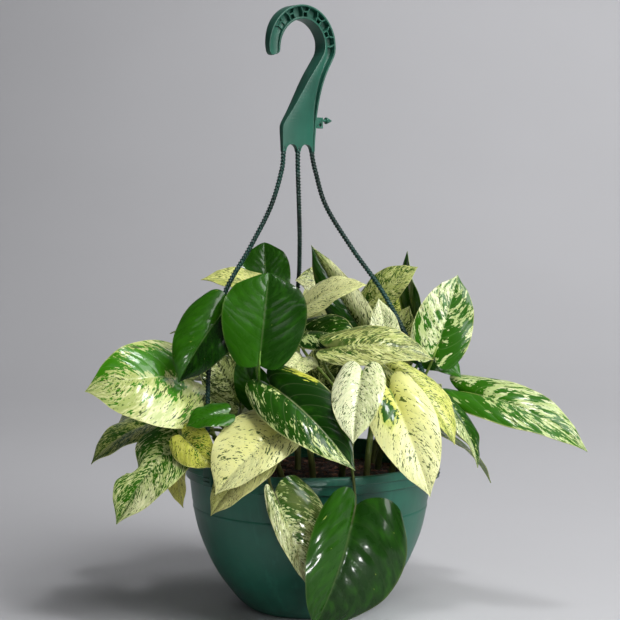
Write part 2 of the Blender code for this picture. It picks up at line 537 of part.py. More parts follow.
class Leaf:
    """A blade and its petiole, placed by base, tip and facing, and bent by a small draw."""

    def __init__(self, row, attempt):
        self.name, self.vine, base, tip, face, self.width, self.arch, self.lift = row
        self.is_round = self.name in ROUND_LEAVES
        self.skew = LOPSIDED.get(self.name, 0.0)
        base, tip = Vector(base), Vector(tip)
        along = (tip - base).normalized()
        face = Vector(face)
        face = (face - along * face.dot(along)).normalized()
        self.length = (tip - base).length
        draw = random.Random(f"{self.name} {attempt}")
        reach = LAST_BEND * attempt / BEND_TRIES
        turn = Quaternion()
        for axis, most in zip((face, along.cross(face), along), FULL_TURNS):
            turn = Quaternion(axis, draw.uniform(-most, most) * reach) @ turn
        shift = Vector([draw.uniform(-1, 1) for _ in range(3)]) * FULL_SHIFT * reach
        self.sway = Vector([draw.uniform(-1, 1) for _ in range(3)]) * FULL_SWAY * reach
        self.along, self.face = turn @ along, turn @ face
        self.side = self.along.cross(self.face)
        self.base = base + shift

    def point(self, across, share):
        """Place on the upper face: across -1..1, share 0 at the base to 1 at the tip."""
        away = abs(across)
        half = half_width(share, self.is_round) * self.width / 2
        half *= 1 + math.copysign(self.skew, self.skew * across)
        if self.name == TORN_LEAF and across > 0:
            half *= 1 - TEAR_DEPTH * away * math.exp(-((share - TEAR_PLACE) / TEAR_WIDTH) ** 2)
        lobes = ROUND_LOBES if self.is_round else LOBES
        lobes *= (4 * away * (1 - away)) ** 0.7 * (1 - share) ** 5
        forward = share - lobes + SWEEP * away * math.sin(math.pi * share)
        height = self.arch * self.length * 4 * share * (1 - share)
        height += half * (self.lift * 3 * away - self.lift * 2.6 * away ** 2)
        ripple = math.sin(RIPPLE_TURN * share + RIPPLE_SHIFT * across)
        height += RIPPLE * away ** 2 * ripple * min(1, 4 * (1 - share))
        return (self.base + self.along * forward * self.length + self.side * across * half
                + self.face * height)

    def blade(self, thickness, grow=0.0):
        bm = bmesh.new()
        rows = ROWS if self.length > LONG_BLADE else SHORT_ROWS
        bmesh.ops.create_grid(bm, x_segments=COLUMNS, y_segments=rows, size=1.0)
        for vert in bm.verts:
            across, share = vert.co.x, (vert.co.y + 1) / 2
            spot = self.point(across, share)
            vert.co = (spot + self.side * across * grow + self.face * (thickness - BLADE) / 2) * MM
        bmesh.ops.triangulate(bm, faces=bm.faces, quad_method="FIXED")
        bmesh.ops.recalc_face_normals(bm, faces=bm.faces)
        middle = min(bm.faces, key=lambda f: (f.calc_center_median() - self.point(0, 0.4) * MM).length)
        if middle.normal.dot(self.face) < 0:
            bmesh.ops.reverse_faces(bm, faces=bm.faces)
        bmesh.ops.solidify(bm, geom=bm.faces, thickness=thickness * MM)
        return bm

    def petiole_path(self, start):
        """From the stem up and out, then in under the base of the blade along its midrib."""
        parts = zip((self.along, self.face, UP), ARRIVE)
        arrive = sum((way * share for way, share in parts), Vector()).normalized()
        end = self.point(0, 0.0) - self.face * BLADE / 2
        reach = (end - start).length
        rise = start + (UP * 0.36 + (end - start).normalized() * 0.12) * reach + self.sway
        meet = end - arrive * min(0.34 * reach, 26) + self.sway * 0.4
        path = []
        for k in range(PETIOLE_STEPS + 1):
            t = k / PETIOLE_STEPS
            path.append(start * (1 - t) ** 3 + rise * 3 * t * (1 - t) ** 2
                        + meet * 3 * t * t * (1 - t) + end * t ** 3)
        return path + [self.point(0, 0.06) - self.face * BLADE * 0.6]

    def is_sound(self, start):
        """True where the petiole has no sharp kink and stays behind its own blade."""
        path = self.petiole_path(start)
        runs = [(b - a).normalized() for a, b in zip(path, path[1:])]
        if any(a.dot(b) < STRAIGHTEST_KINK for a, b in zip(runs, runs[1:])):
            return False
        stalk = loft(tube_rings(path[:-2], [PETIOLE_RADIUS] * (len(path) - 2), PETIOLE_SIDES))
        return not tree(self.blade(BLADE)).overlap(tree(stalk))

    def petiole(self, start, grow=0.0, first=0):
        path = self.petiole_path(start)
        if grow:
            path = path[:-1]
        radii = [PETIOLE_RADIUS + (PETIOLE_TIP_RADIUS - PETIOLE_RADIUS) * k / PETIOLE_STEPS + grow
                 for k in range(len(path))]
        return loft(tube_rings(path[first:], radii[first:], PETIOLE_SIDES))


def stem_path(vine):
    _, (x, y), top = VINES[vine]
    floor = mix_height(x, y) - HOLE_DEPTH + FIT
    ground = floor + HOLE_DEPTH + 4
    foot = [Vector((x, y, floor)), Vector((x, y, ground))]
    return foot + smooth_curve([foot[1], foot[1].lerp(Vector(top), 0.5) + UP * 2, top], 1)[1:]


def petiole_start(vine, share):
    """Place inside the stem where a leaf's petiole leaves it, at a share of its upper run."""
    path = stem_path(vine)
    return path[2].lerp(path[3], share)


def all_leaves():
    """Every leaf and how far up its stem it starts: evenly spaced ones first, then inner ones."""
    rows = list(LEAVES) + back_leaves()
    counts = {vine: sum(1 for row in rows if row[1] == vine) for vine in VINES}
    used = dict.fromkeys(VINES, 0)
    leaves = []
    for row in rows:
        leaves.append((row, (used[row[1]] + 0.9) / counts[row[1]]))
        used[row[1]] += 1
    return leaves + [(row[:-1], row[-1]) for row in INNER_LEAVES]


def tree(bm):
    shape = BVHTree.FromBMesh(bm)
    bm.free()
    return shape


def is_clear(leaf, start, solid):
    """True where the leaf keeps its gap to other pieces and to the blades of its own vine."""
    blade = tree(leaf.blade(BLADE + 2 * CLEAR, CLEAR))
    whole, outer = [tree(leaf.petiole(start, CLEAR, first)) for first in (0, 1)]
    for kind, owner, shape in solid:
        if shape.overlap(blade) or (owner != leaf.vine and shape.overlap(whole)):
            return False
        if owner == leaf.vine and kind == "blade" and shape.overlap(outer):
            return False
    return True


def place_leaves(fixed):
    """Bends each leaf a little until it is clear of all that is already there."""
    solid = list(fixed)
    placed = []
    for row, share in all_leaves():
        vine = row[1]
        start = petiole_start(vine, share)
        tries = (Leaf(row, attempt) for attempt in range(BEND_TRIES))
        clear = (leaf for leaf in tries if leaf.is_sound(start) and is_clear(leaf, start, solid))
        leaf = next(clear, None)
        if leaf is None:
            print(f"{row[0]} finds no clear place and is left out")
            continue
        placed.append((leaf, start))
        solid.append(("blade", vine, tree(leaf.blade(BLADE))))
        solid.append(("stalk", vine, tree(leaf.petiole(start))))
    return placed


def build_vines(pot, hanger, mix):
    fixed = [("made", None, tree_of(thing)) for thing in (pot, hanger, mix)]
    stems = {}
    for vine in VINES:
        path = stem_path(vine)
        radii = [STEM_RADIUS, STEM_RADIUS, STEM_TIP_RADIUS, STEM_TIP_RADIUS]
        stems[vine] = tube_rings(path, radii, STEM_SIDES)
        fixed.append(("stem", vine, tree(loft(stems[vine]))))
    placed = place_leaves(fixed)
    for vine, (look, _, _) in VINES.items():
        bodies = [loft(stems[vine])]
        for leaf, start in placed:
            if leaf.vine == vine:
                bodies += [leaf.petiole(start), leaf.blade(BLADE)]
        fuse(vine, bodies, look)


def tree_of(thing):
    bm = bmesh.new()
    bm.from_mesh(thing.data)
    return tree(bm)


clear_scene()
build_vines(build_pot(), build_hanger(), build_mix())
for built in bpy.data.objects:
    print(f"{built.name:>20} {len(built.data.polygons)} triangles")
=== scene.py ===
# %% [markdown]
# # Devil's ivy in a moulded hanging pot
#
# The plant stands on a plain pale floor: a satin green plastic pot, dark potting mix, a one-piece
# plastic hanger with a hook, and fifteen vines with heart-shaped leaves marbled in cream and green.
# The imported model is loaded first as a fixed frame. Every piece below is built where the frame has
# it, in metres, with its place in its mesh.

import math
import random

import bmesh
import bpy
from mathutils import Matrix, Quaternion, Vector, noise
from mathutils.bvhtree import BVHTree


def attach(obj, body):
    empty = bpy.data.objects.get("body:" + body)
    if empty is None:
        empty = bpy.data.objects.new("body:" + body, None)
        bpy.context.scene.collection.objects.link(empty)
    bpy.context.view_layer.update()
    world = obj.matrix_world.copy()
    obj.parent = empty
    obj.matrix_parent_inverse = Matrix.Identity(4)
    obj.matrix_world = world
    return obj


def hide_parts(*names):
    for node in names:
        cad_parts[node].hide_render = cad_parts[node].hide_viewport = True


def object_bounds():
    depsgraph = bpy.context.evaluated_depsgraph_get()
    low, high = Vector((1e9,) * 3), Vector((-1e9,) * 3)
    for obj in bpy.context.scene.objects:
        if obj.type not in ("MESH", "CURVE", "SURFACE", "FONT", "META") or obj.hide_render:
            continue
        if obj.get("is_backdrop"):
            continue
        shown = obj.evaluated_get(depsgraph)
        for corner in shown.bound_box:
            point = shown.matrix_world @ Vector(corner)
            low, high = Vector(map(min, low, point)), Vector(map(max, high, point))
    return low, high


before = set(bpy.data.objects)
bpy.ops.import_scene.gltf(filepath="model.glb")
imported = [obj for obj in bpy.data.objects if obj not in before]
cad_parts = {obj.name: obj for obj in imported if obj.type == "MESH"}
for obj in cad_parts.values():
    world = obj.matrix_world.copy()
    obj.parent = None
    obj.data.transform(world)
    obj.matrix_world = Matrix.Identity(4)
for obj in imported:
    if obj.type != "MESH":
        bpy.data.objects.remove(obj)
MM = 0.001
UP = Vector((0, 0, 1))
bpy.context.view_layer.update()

# %% [markdown]
# ## Camera
#
# The photograph was fitted by the ellipse of the pot's rim: the camera stands 1.25 m away, a little
# above level, and looks at a point half way up the plant. A long lens keeps the pot from bulging.

# %% Camera
LENS, SENSOR = 90.4, 36.0
AIM = Vector((0, 0, 0.2392))
ELEVATION, DISTANCE = math.radians(4.2), 1.25

camera_data = bpy.data.cameras.new("camera")
camera_data.lens, camera_data.sensor_width = LENS, SENSOR
camera = bpy.data.objects.new("camera", camera_data)
bpy.context.scene.collection.objects.link(camera)
camera.location = AIM + Vector((0, -math.cos(ELEVATION), math.sin(ELEVATION))) * DISTANCE
camera.rotation_euler = (AIM - camera.location).to_track_quat("-Z", "Y").to_euler()
bpy.context.scene.camera = camera
bpy.context.scene.view_settings.view_transform = "Standard"
print("camera at", [round(c, 3) for c in camera.location])

# %% [markdown]
# ## Tools for finishes
#
# A finish is a small graph of nodes. One function turns a colour as it is picked on a screen into
# the linear light that a shader wants, and one adds a node with its settings and links. Two recipes
# come back in most graphs: colours that lie over each other, and sums of patterns. A value that is
# the same all over is set on the shader itself. Nothing here is a metal.

# %% Colour and node helpers
SMOOTH = {"interpolation_type": "SMOOTHSTEP"}


def linear(code):
    """Linear colour of an sRGB hex code."""
    parts = [int(code[i:i + 2], 16) / 255 for i in (0, 2, 4)]
    return (*[c / 12.92 if c <= 0.04045 else ((c + 0.055) / 1.055) ** 2.4 for c in parts], 1.0)


def add(tree, kind, inputs=(), out=0, **settings):
    """Adds a node, applies its settings, links or sets its inputs, and gives one output."""
    node = tree.nodes.new("ShaderNode" + kind)
    for name, value in settings.items():
        setattr(node, name, value)
    for key, value in inputs.items() if isinstance(inputs, dict) else enumerate(inputs):
        if isinstance(value, bpy.types.NodeSocket):
            tree.links.new(value, node.inputs[key])
        else:
            node.inputs[key].default_value = value
    return node.outputs[out] if node.outputs else None


def layered(tree, colour, *layers):
    """Colours laid over the first, each by its own share. A colour is a hex code or an output."""
    for share, over in layers:
        below, over = [linear(item) if isinstance(item, str) else item for item in (colour, over)]
        colour = add(tree, "Mix", {0: share, 6: below, 7: over}, 2, data_type="RGBA")
    return colour


def weighed(tree, start, *terms, clamp=False):
    """A start value plus each pattern times its weight. The last sum is kept in 0 to 1 if asked."""
    for i, (value, weight) in enumerate(terms):
        start = add(tree, "Math", (value, weight, start), operation="MULTIPLY_ADD",
                    use_clamp=clamp and i == len(terms) - 1)
    return start


def new_finish(name):
    """A material with an empty graph."""
    material = bpy.data.materials.new(name)
    material.use_nodes = True
    material.node_tree.nodes.clear()
    return material, material.node_tree


def shaded(material, inputs):
    """Ends a graph with its shader and gives the finished material."""
    shader = add(material.node_tree, "BsdfPrincipled", {"Metallic": 0.0, **inputs})
    add(material.node_tree, "OutputMaterial", [shader])
    return material


print("mid grey 808080 as linear light:", round(linear("808080")[0], 3))

# %% [markdown]
# ## Tools for shapes
#
# Long parts, such as the hook, strands and stalks, are one section pushed along a path. The section
# starts as a face, which is extruded from station to station, so the body is closed from the start.

# %% Shape helpers
def sweep(bm, rings):
    """Extrudes a face through rings of points, in millimetres, into a closed body."""
    face = bm.faces.new([bm.verts.new(Vector(point) * MM) for point in rings[0]])
    made = list(face.verts)
    old = [vert.co.copy() for vert in face.verts]
    for ring in rings[1:]:
        grown = bmesh.ops.extrude_face_region(bm, geom=[face])
        face = next(item for item in grown["geom"] if isinstance(item, bmesh.types.BMFace))
        now = [point * MM for point in ring]
        match = [min(range(len(old)), key=lambda i: (vert.co - old[i]).length_squared)
                 for vert in face.verts]
        for vert, i in zip(face.verts, match):
            vert.co = now[i]
        made += list(face.verts)
        old = now
    return made


def smooth_path(points, steps):
    """Points of a smooth curve through the given ones, with steps between each two."""
    points = [Vector(point) for point in points]
    ends = [points[0] * 2 - points[1]] + points + [points[-1] * 2 - points[-2]]
    curve = []
    for a, b, c, d in zip(ends, ends[1:], ends[2:], ends[3:]):
        for k in range(steps):
            t = k / steps
            curve.append(0.5 * (2 * b + (c - a) * t + (2 * a - 5 * b + 4 * c - d) * t * t
                                + (3 * b - a - 3 * c + d) * t ** 3))
    return curve + [points[-1]]


def bar_rings(path, radius, sides):
    """Rings round a path. The radius is a function of the station and the angle round the bar."""
    rings = []
    across = None
    for i, point in enumerate(path):
        along = (path[min(i + 1, len(path) - 1)] - path[max(i - 1, 0)]).normalized()
        if across is None:
            across = along.orthogonal().normalized() if abs(along.z) < 0.98 else Vector((1, 0, 0))
        across = (across - along * across.dot(along)).normalized()
        other = along.cross(across)
        angles = [2 * math.pi * k / sides for k in range(sides)]
        rings.append([point + (across * math.cos(a) + other * math.sin(a)) * radius(i, a) for a in angles])
    return rings


def to_piece(bm, name, finish, nodes, sharp=40, turn_out=True):
    """Turns a bmesh into a finished piece that rides on the root and stands for its nodes."""
    if turn_out:
        bmesh.ops.recalc_face_normals(bm, faces=bm.faces)
    mesh = bpy.data.meshes.new(name)
    bm.to_mesh(mesh)
    bm.free()
    mesh.materials.append(finish)
    mesh.shade_smooth()
    mesh.set_sharp_from_angle(angle=math.radians(sharp))
    piece = bpy.data.objects.new(name, mesh)
    bpy.context.scene.collection.objects.link(piece)
    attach(piece, "root")
    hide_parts(*nodes)
    print(f"{name}: {sum(len(p.vertices) - 2 for p in mesh.polygons)} triangles")
    return piece


def cut(piece, cutters, sharp=None):
    """Cuts closed shapes out of a piece with an exact Boolean, and shades it again if asked."""
    bmesh.ops.recalc_face_normals(cutters, faces=cutters.faces)
    mesh = bpy.data.meshes.new("cutter")
    cutters.to_mesh(mesh)
    cutters.free()
    cutter = bpy.data.objects.new("cutter", mesh)
    bpy.context.scene.collection.objects.link(cutter)
    modifier = piece.modifiers.new("cut", "BOOLEAN")
    modifier.operation, modifier.object, modifier.solver = "DIFFERENCE", cutter, "EXACT"
    result = bpy.data.meshes.new_from_object(piece.evaluated_get(bpy.context.evaluated_depsgraph_get()))
    piece.modifiers.clear()
    piece.data = result
    if sharp:
        result.shade_smooth()
        result.set_sharp_from_angle(angle=math.radians(sharp))
    bpy.data.objects.remove(cutter, do_unlink=True)


def bevelled(bm, edges, radius, segments=1):
    """Rounds edges off and gives the new faces."""
    return bmesh.ops.bevel(bm, geom=edges, offset=radius * MM, offset_type="OFFSET", segments=segments,
                           profile=0.5, affect="EDGES", material=-1)["faces"]


def box(bm, low, high, place, bevel=0.0):
    """A box between two corners, with its edges rounded, put in place by a function."""
    verts = bmesh.ops.create_cube(bm, size=1.0)["verts"]
    low, high = Vector(low), Vector(high)
    for vert in verts:
        share = vert.co + Vector((0.5, 0.5, 0.5))
        vert.co = Vector([a + (b - a) * s for a, b, s in zip(low, high, share)]) * MM
    if bevel:
        edges = list({edge for vert in verts for edge in vert.link_edges})
        verts = list({vert for face in bevelled(bm, edges, bevel, 3) for vert in face.verts})
    for vert in verts:
        vert.co = place(vert.co / MM) * MM
    return verts


# %% [markdown]
# ## Pot
#
# The real pot is injection moulded: one thin wall of polypropylene that leaves its mould with a
# round lip, a straight band under it and a faint ring where two parts of the mould meet. Such a
# body is a profile turned once round, so a bmesh edge path is spun about Z. The slots for the clips
# and the drain holes are then cut, as they would be by the pins of the mould.

# %% Pot profile
# Sizes in millimetres. The outside is a row of (radius, height)
FOOT_RADIUS, FLOOR, WALL = 46.0, 3.0, 2.0
POT_OUTSIDE = ((51.0, 1.2), (58.5, 7.4), (66.8, 17.6), (75.0, 29.2), (83.0, 44.6),
               (90.4, 64.0), (94.6, 84.0), (97.2, 106.4))
BAND_RADIUS, BAND_FOOT = 100.0, 107.6
LIP_RADIUS, LIP_FOOT, RIM_HEIGHT = 102.6, 114.8, 121.0
SLOT_HALF, SLOT_FOOT, SLOT_TOP = 4.1, 108.6, 113.6
RING_LINE, RING_RADIUS, RING_DEPTH, RING_HALF, RING_CLEAR = 84.5, 94.66, 0.28, 0.7, 2
POT_SIDES = 160


def pot_profile():
    """(radius, height) points round the wall, from the middle of the foot to the floor inside."""
    wall = [(p.x, p.z) for p in smooth_path([(r, 0, z) for r, z in POT_OUTSIDE], 5)]
    wall = [(r, z) for r, z in wall if abs(z - RING_LINE) > RING_CLEAR]
    ring = [(0, RING_CLEAR), (0, RING_HALF), (RING_DEPTH, 0), (0, -RING_HALF), (0, -RING_CLEAR)]
    wall += [(RING_RADIUS - deep, RING_LINE - rise) for deep, rise in ring]
    wall.sort(key=lambda point: point[1])
    inside = [(r - WALL, z + 0.6) for r, z in POT_OUTSIDE[:0:-1]]
    lip = [(BAND_RADIUS - 0.5, BAND_FOOT - 0.4), (BAND_RADIUS, BAND_FOOT + 0.2),
           (BAND_RADIUS, LIP_FOOT - 1.0), (BAND_RADIUS + 0.4, LIP_FOOT - 0.4),
           (LIP_RADIUS - 0.6, LIP_FOOT), (LIP_RADIUS, LIP_FOOT + 0.6), (LIP_RADIUS, RIM_HEIGHT - 1.8),
           (LIP_RADIUS - 0.5, RIM_HEIGHT - 0.6), (LIP_RADIUS - 1.6, RIM_HEIGHT),
           (BAND_RADIUS - WALL + 0.8, RIM_HEIGHT), (BAND_RADIUS - WALL, RIM_HEIGHT - 0.8),
           (BAND_RADIUS - WALL - 0.4, BAND_FOOT + 1.0)]
    foot = [(0, 1.0), (FOOT_RADIUS - 8, 1.0), (FOOT_RADIUS - 7, 0.0), (FOOT_RADIUS, 0.0), (48.6, 0.2)]
    return foot + wall + lip + inside + [(FOOT_RADIUS, FLOOR), (0, FLOOR)]


def turned(profile, sides):
    """A closed body turned about Z from a profile that starts and ends on the axis."""
    bm = bmesh.new()
    verts = [bm.verts.new((radius * MM, 0, height * MM)) for radius, height in profile]
    edges = [bm.edges.new(pair) for pair in zip(verts, verts[1:])]
    bmesh.ops.spin(bm, geom=verts + edges, axis=UP, cent=(0, 0, 0), angle=2 * math.pi, steps=sides,
                   use_merge=True)
    bmesh.ops.remove_doubles(bm, verts=bm.verts, dist=1e-6)
    return bm


profile = pot_profile()
print("pot profile:", len(profile), "points,", POT_SIDES, "steps round")

# %% [markdown]
# ## Finish of the moulded plastic
#
# The pot and its hanger are polypropylene, coloured through with a blue-green pigment and moulded
# in a tool with a fine satin surface. To the eye that gives a soft, wide gloss, slightly uneven,
# with faint flow lines and a little rubbing. The grain is about 0.4 mm on the real tool and is
# drawn at 1.2 mm, because finer would not show.

# %% Moulded plastic
GRAIN_MM, CLOUD_MM, FLOW_MM, GRAIN_RELIEF_MM = 1.2, 45.0, 9.0, 0.4
FLOW_STRETCH, UNEVEN_GLOSS, MOST_RUBBED = 0.12, 0.16, 0.35


def moulded_polypropylene(name, colour, worn, dark, roughness):
    """Satin plastic: cloudy colour, rubbed along the flow of the melt, fine grain, uneven gloss."""
    material, tree = new_finish(name)
    spot = add(tree, "TexCoord", out="Object")
    cloud = add(tree, "TexNoise", {"Vector": spot, "Scale": 1 / (CLOUD_MM * MM), "Detail": 3.0})
    drawn = add(tree, "Mapping", {"Vector": spot, "Scale": (1.0, 1.0, FLOW_STRETCH)})
    flow = add(tree, "TexNoise", {"Vector": drawn, "Scale": 1 / (FLOW_MM * MM), "Detail": 4.0,
                                  "Roughness": 0.6})
    grain = add(tree, "TexNoise", {"Vector": spot, "Scale": 1 / (GRAIN_MM * MM), "Detail": 2.0})
    clouded = add(tree, "MapRange", (cloud, 0.35, 0.7), **SMOOTH)
    rubbed = weighed(tree, 0.0, (add(tree, "MapRange", (flow, 0.52, 0.72), **SMOOTH), MOST_RUBBED))
    return shaded(material, {
        "IOR": 1.49,
        "Base Color": layered(tree, dark, (clouded, colour), (rubbed, worn)),
        "Roughness": weighed(tree, roughness - UNEVEN_GLOSS / 2, (flow, UNEVEN_GLOSS)),
        "Normal": add(tree, "Bump", {"Height": grain, "Strength": 0.12, "Distance": GRAIN_RELIEF_MM * MM}),
    })


pot_plastic = moulded_polypropylene("moulded polypropylene pot", "1f604d", "357563", "184f3f", 0.38)
hanger_plastic = moulded_polypropylene("moulded polypropylene hanger", "205a49", "3d7261", "1b493b", 0.40)
# The strands take a darker copy of the same plastic. That is painted shade, for the shade the wound lobes
# cast on each other.
shaded_strand_plastic = moulded_polypropylene("moulded polypropylene strand", "17433a", "2c6154", "0c2620", 0.42)
print("finishes:", [pot_plastic.name, hanger_plastic.name, shaded_strand_plastic.name])

# %% [markdown]
# The three slots are cut with rounded boxes and the drain holes with round bars, all in one exact
# Boolean, which leaves clean edges in a wall of 2 mm.

# %% Pot body
STRAND_TURNS = (222, 102, -18)
DRAINS, DRAIN_RADIUS, DRAIN_CIRCLE = 4, 4.5, 30.0


def at_clip(azimuth):
    """Turns (out, across, height) at a clip into a point of the frame."""
    turn = Matrix.Rotation(math.radians(azimuth), 4, "Z")
    return lambda point: turn @ Vector(point)


pot = to_piece(turned(profile, POT_SIDES), "pot_shell", pot_plastic, ["pot"])
openings = bmesh.new()
for azimuth in STRAND_TURNS:
    box(openings, (90, -SLOT_HALF, SLOT_FOOT), (110, SLOT_HALF, SLOT_TOP), at_clip(azimuth), bevel=0.8)
for k in range(DRAINS):
    turn = 2 * math.pi * (k + 0.5) / DRAINS
    spot = Vector((math.cos(turn), math.sin(turn), 0)) * DRAIN_CIRCLE * MM
    bmesh.ops.create_cone(openings, cap_ends=True, segments=24, radius1=DRAIN_RADIUS * MM,
                          radius2=DRAIN_RADIUS * MM, depth=12 * MM, matrix=Matrix.Translation(spot))
cut(pot, openings, sharp=32)
print("pot with", len(STRAND_TURNS), "slots and", DRAINS, "drain holes")

# %% [markdown]
# ## Potting mix
#
# Peat mix is a heap of crumbs with shreds of bark. Its body is turned like the pot. The top is a
# fine grid of rings that layered noise lifts into lumps, coarse and fine, because crumbs cast small
# shadows that a flat disc would lack. The bark is made of separate chips on top.

# %% Finish of the mix
CRUMB_MM, SHRED_MM, CRUMB_RELIEF_MM = 2.4, 3.2, 1.2


def peat(name, dark, light, shred):
    """Damp peat: nearly black, with lighter crumbs and a few shreds, rough all over."""
    material, tree = new_finish(name)
    spot = add(tree, "TexCoord", out="Object")
    crumbs = add(tree, "TexNoise", {"Vector": spot, "Scale": 1 / (CRUMB_MM * MM), "Detail": 6.0,
                                    "Roughness": 0.65})
    shreds = add(tree, "TexVoronoi", {"Vector": spot, "Scale": 1 / (SHRED_MM * MM)}, "Color")
    crumbly = add(tree, "MapRange", (crumbs, 0.42, 0.68), **SMOOTH)
    chosen = add(tree, "MapRange", (add(tree, "SeparateColor", [shreds]), 0.80, 0.84), **SMOOTH)
    return shaded(material, {
        "IOR": 1.45, "Roughness": 0.93,
        "Base Color": layered(tree, dark, (crumbly, light), (weighed(tree, 0.0, (chosen, 0.6)), shred)),
        "Normal": add(tree, "Bump", {"Height": crumbs, "Strength": 0.8, "Distance": CRUMB_RELIEF_MM * MM}),
    })


potting_peat = peat("damp peat mix", "100706", "26120d", "4a2e22")
print("finish:", potting_peat.name)

# %% Body of the mix
MIX_RADIUS, MIX_EDGE, MIX_MIDDLE = 94.2, 104.0, 109.0
MIX_RING, MIX_SIDES, FIT = 1.3, 220, 0.3
# Lumps: how wide and how high they are in millimetres, and an offset of their own
LUMPS, LUMP_FADE = ((15, 2.0, 3.0), (6, 1.4, 9.0), (2.6, 0.8, 5.0)), 6


def mix_height(x, y):
    """Height of the mound before its lumps."""
    return MIX_MIDDLE + (MIX_EDGE - MIX_MIDDLE) * (math.hypot(x, y) / MIX_RADIUS) ** 2


def lump(x, y):
    """Lumps of the mix, in millimetres, fading out at the pot's wall."""
    edge = min(1.0, (MIX_RADIUS - math.hypot(x, y)) / LUMP_FADE)
    return edge * sum(high * noise.noise(Vector((x / wide, y / wide, own))) for wide, high, own in LUMPS)


side = [(0, FLOOR + FIT), (FOOT_RADIUS - 1, FLOOR + FIT)]
side += [(r - WALL - 0.4, z + 1.2) for r, z in POT_OUTSIDE[1:-1]]
top = [(radius, mix_height(radius, 0)) for radius in
       [MIX_RADIUS - MIX_RING * k for k in range(int(MIX_RADIUS / MIX_RING))] + [0]]
mix = turned(side + top, MIX_SIDES)
for vert in mix.verts:
    x, y, z = vert.co / MM
    if z > MIX_EDGE - 1:
        vert.co.z += lump(x, y) * MM
to_piece(mix, "peat_mix", potting_peat, ["potting_mix"], sharp=60)

# %% [markdown]
# ## Bark chips
#
# Split bark breaks into flat splinters, dull and dusty brown to the eye. Each chip is a cube, drawn
# out, bevelled and turned at random from a fixed seed, and pressed half into the mix, so that it
# lies and doesn't hover.

# %% Finish of the bark
FIBRE_MM, FIBRE_RELIEF_MM = 1.1, 0.6


def split_bark(name, dark, light):
    """Dry composted bark with a different tone on each chip and a fibrous grain."""
    material, tree = new_finish(name)
    tone = add(tree, "Attribute", out="Fac", attribute_name="chip_tone")
    spot = add(tree, "TexCoord", out="Object")
    fibre = add(tree, "TexNoise", {"Vector": spot, "Scale": 1 / (FIBRE_MM * MM), "Detail": 4.0})
    share = weighed(tree, 0.0, (tone, weighed(tree, 0.35, (fibre, 0.9))))
    return shaded(material, {
        "IOR": 1.45, "Roughness": 0.88,
        "Base Color": layered(tree, dark, (share, light)),
        "Normal": add(tree, "Bump", {"Height": fibre, "Strength": 0.6, "Distance": FIBRE_RELIEF_MM * MM}),
    })


bark = split_bark("composted bark", "2a1512", "8a5f4c")
print("finish:", bark.name)

# %% Chips
CHIPS, CHIP_SEED, CHIP_CIRCLE = 420, 5, 90
CHIP_LENGTH, CHIP_SLIM, CHIP_THICK, CHIP_TILT = (2.0, 6.5), (0.25, 0.6), (0.6, 1.8), 0.5
CHIP_ROUGH, CHIP_BEVEL, CHIP_RISE = 0.3, 0.2, 0.2
draw = random.Random(CHIP_SEED)
chips = bmesh.new()
tone = chips.verts.layers.float.new("chip_tone")
for _ in range(CHIPS):
    turn, out = draw.uniform(0, 2 * math.pi), CHIP_CIRCLE * math.sqrt(draw.uniform(0, 1))
    x, y = out * math.cos(turn), out * math.sin(turn)
    long = draw.uniform(*CHIP_LENGTH)
    size = Vector((long, long * draw.uniform(*CHIP_SLIM), draw.uniform(*CHIP_THICK)))
    lie = Quaternion(UP, draw.uniform(0, 6.3)) @ Quaternion((1, 0, 0), draw.uniform(-CHIP_TILT, CHIP_TILT))
    middle = Vector((x, y, mix_height(x, y) + lump(x, y) + CHIP_RISE))
    shade = draw.uniform(0.1, 1.0) ** 2
    verts = box(chips, size * -0.5, size * 0.5, lambda p: middle + lie @ p)
    for vert in verts:
        vert.co += Vector([draw.uniform(-CHIP_ROUGH, CHIP_ROUGH) for _ in range(3)]) * MM
        vert[tone] = shade
bevelled(chips, chips.edges, CHIP_BEVEL)
to_piece(chips, "bark_chips", bark, ["potting_mix"], sharp=30)

# %% [markdown]
# ## Hanger
#
# The hanger is one moulding. Its hook is a channel: a thin web between two flanges, so that it
# cools evenly and stays light, with ribs across the curve. The section is known at a row of
# stations, so it is swept through them. The stations are set closer on a smooth curve, and the
# corners of the section are rounded before the sweep, as a mould rounds them.

# %% Hook
HOOK_TURN, HOOK_X, HOOK_CENTRE = math.radians(40), -8.2, 448.4
HOOK_OUTER, HOOK_INNER = 32.8, 21.6
FLANGE, THIN_FLANGE, WEB = 1.7, 1.5, 1.2
# Stations in millimetres and degrees. Tip: turn, share of the full width, half depth. Arc: turn, half
# depth. Shank: height, left edge, right edge, half depth, inner flange
HOOK_TIP = ((196, 0.40, 1.6), (194, 0.74, 2.3), (189, 0.95, 2.6), (178, 1, 3.0), (163, 1, 3.7))
HOOK_ARC = ((148, 4.5), (133, 5.2), (118, 5.7), (103, 6.0), (88, 6.2), (73, 6.3), (58, 6.4),
            (43, 6.4), (28, 6.4), (13, 6.4))
SHANK = ((445.1, 20.4, 32.2, 6.4, 3.2), (437.1, 15.4, 28.2, 6.4, 5.2), (429.0, 9.4, 23.8, 6.1, 8.4),
         (420.9, 3.8, 20.6, 5.6, 11.2), (412.8, -1.2, 18.3, 5.0, 14.4), (404.9, -6.2, 16.8, 4.3, 18.0),
         (396.9, -11.4, 15.8, 3.5, 23.0), (388.8, -17.2, 15.2, 2.7, 29.4), (384.0, -18.9, 15.2, 2.4, 31.2),
         (372.7, -18.6, 14.5, 2.0, 31.2), (365.8, -18.3, 14.3, 1.9, 31.0))
PADDLE_FOOT, ARCH_RADIUS = 365.8, 5.8


def in_hook(across, height, out=0.0):
    """A point of the hook's own plane, out towards the front, in the frame."""
    return Vector((HOOK_X + across * math.cos(HOOK_TURN) + out * math.sin(HOOK_TURN),
                   across * math.sin(HOOK_TURN) - out * math.cos(HOOK_TURN), height))


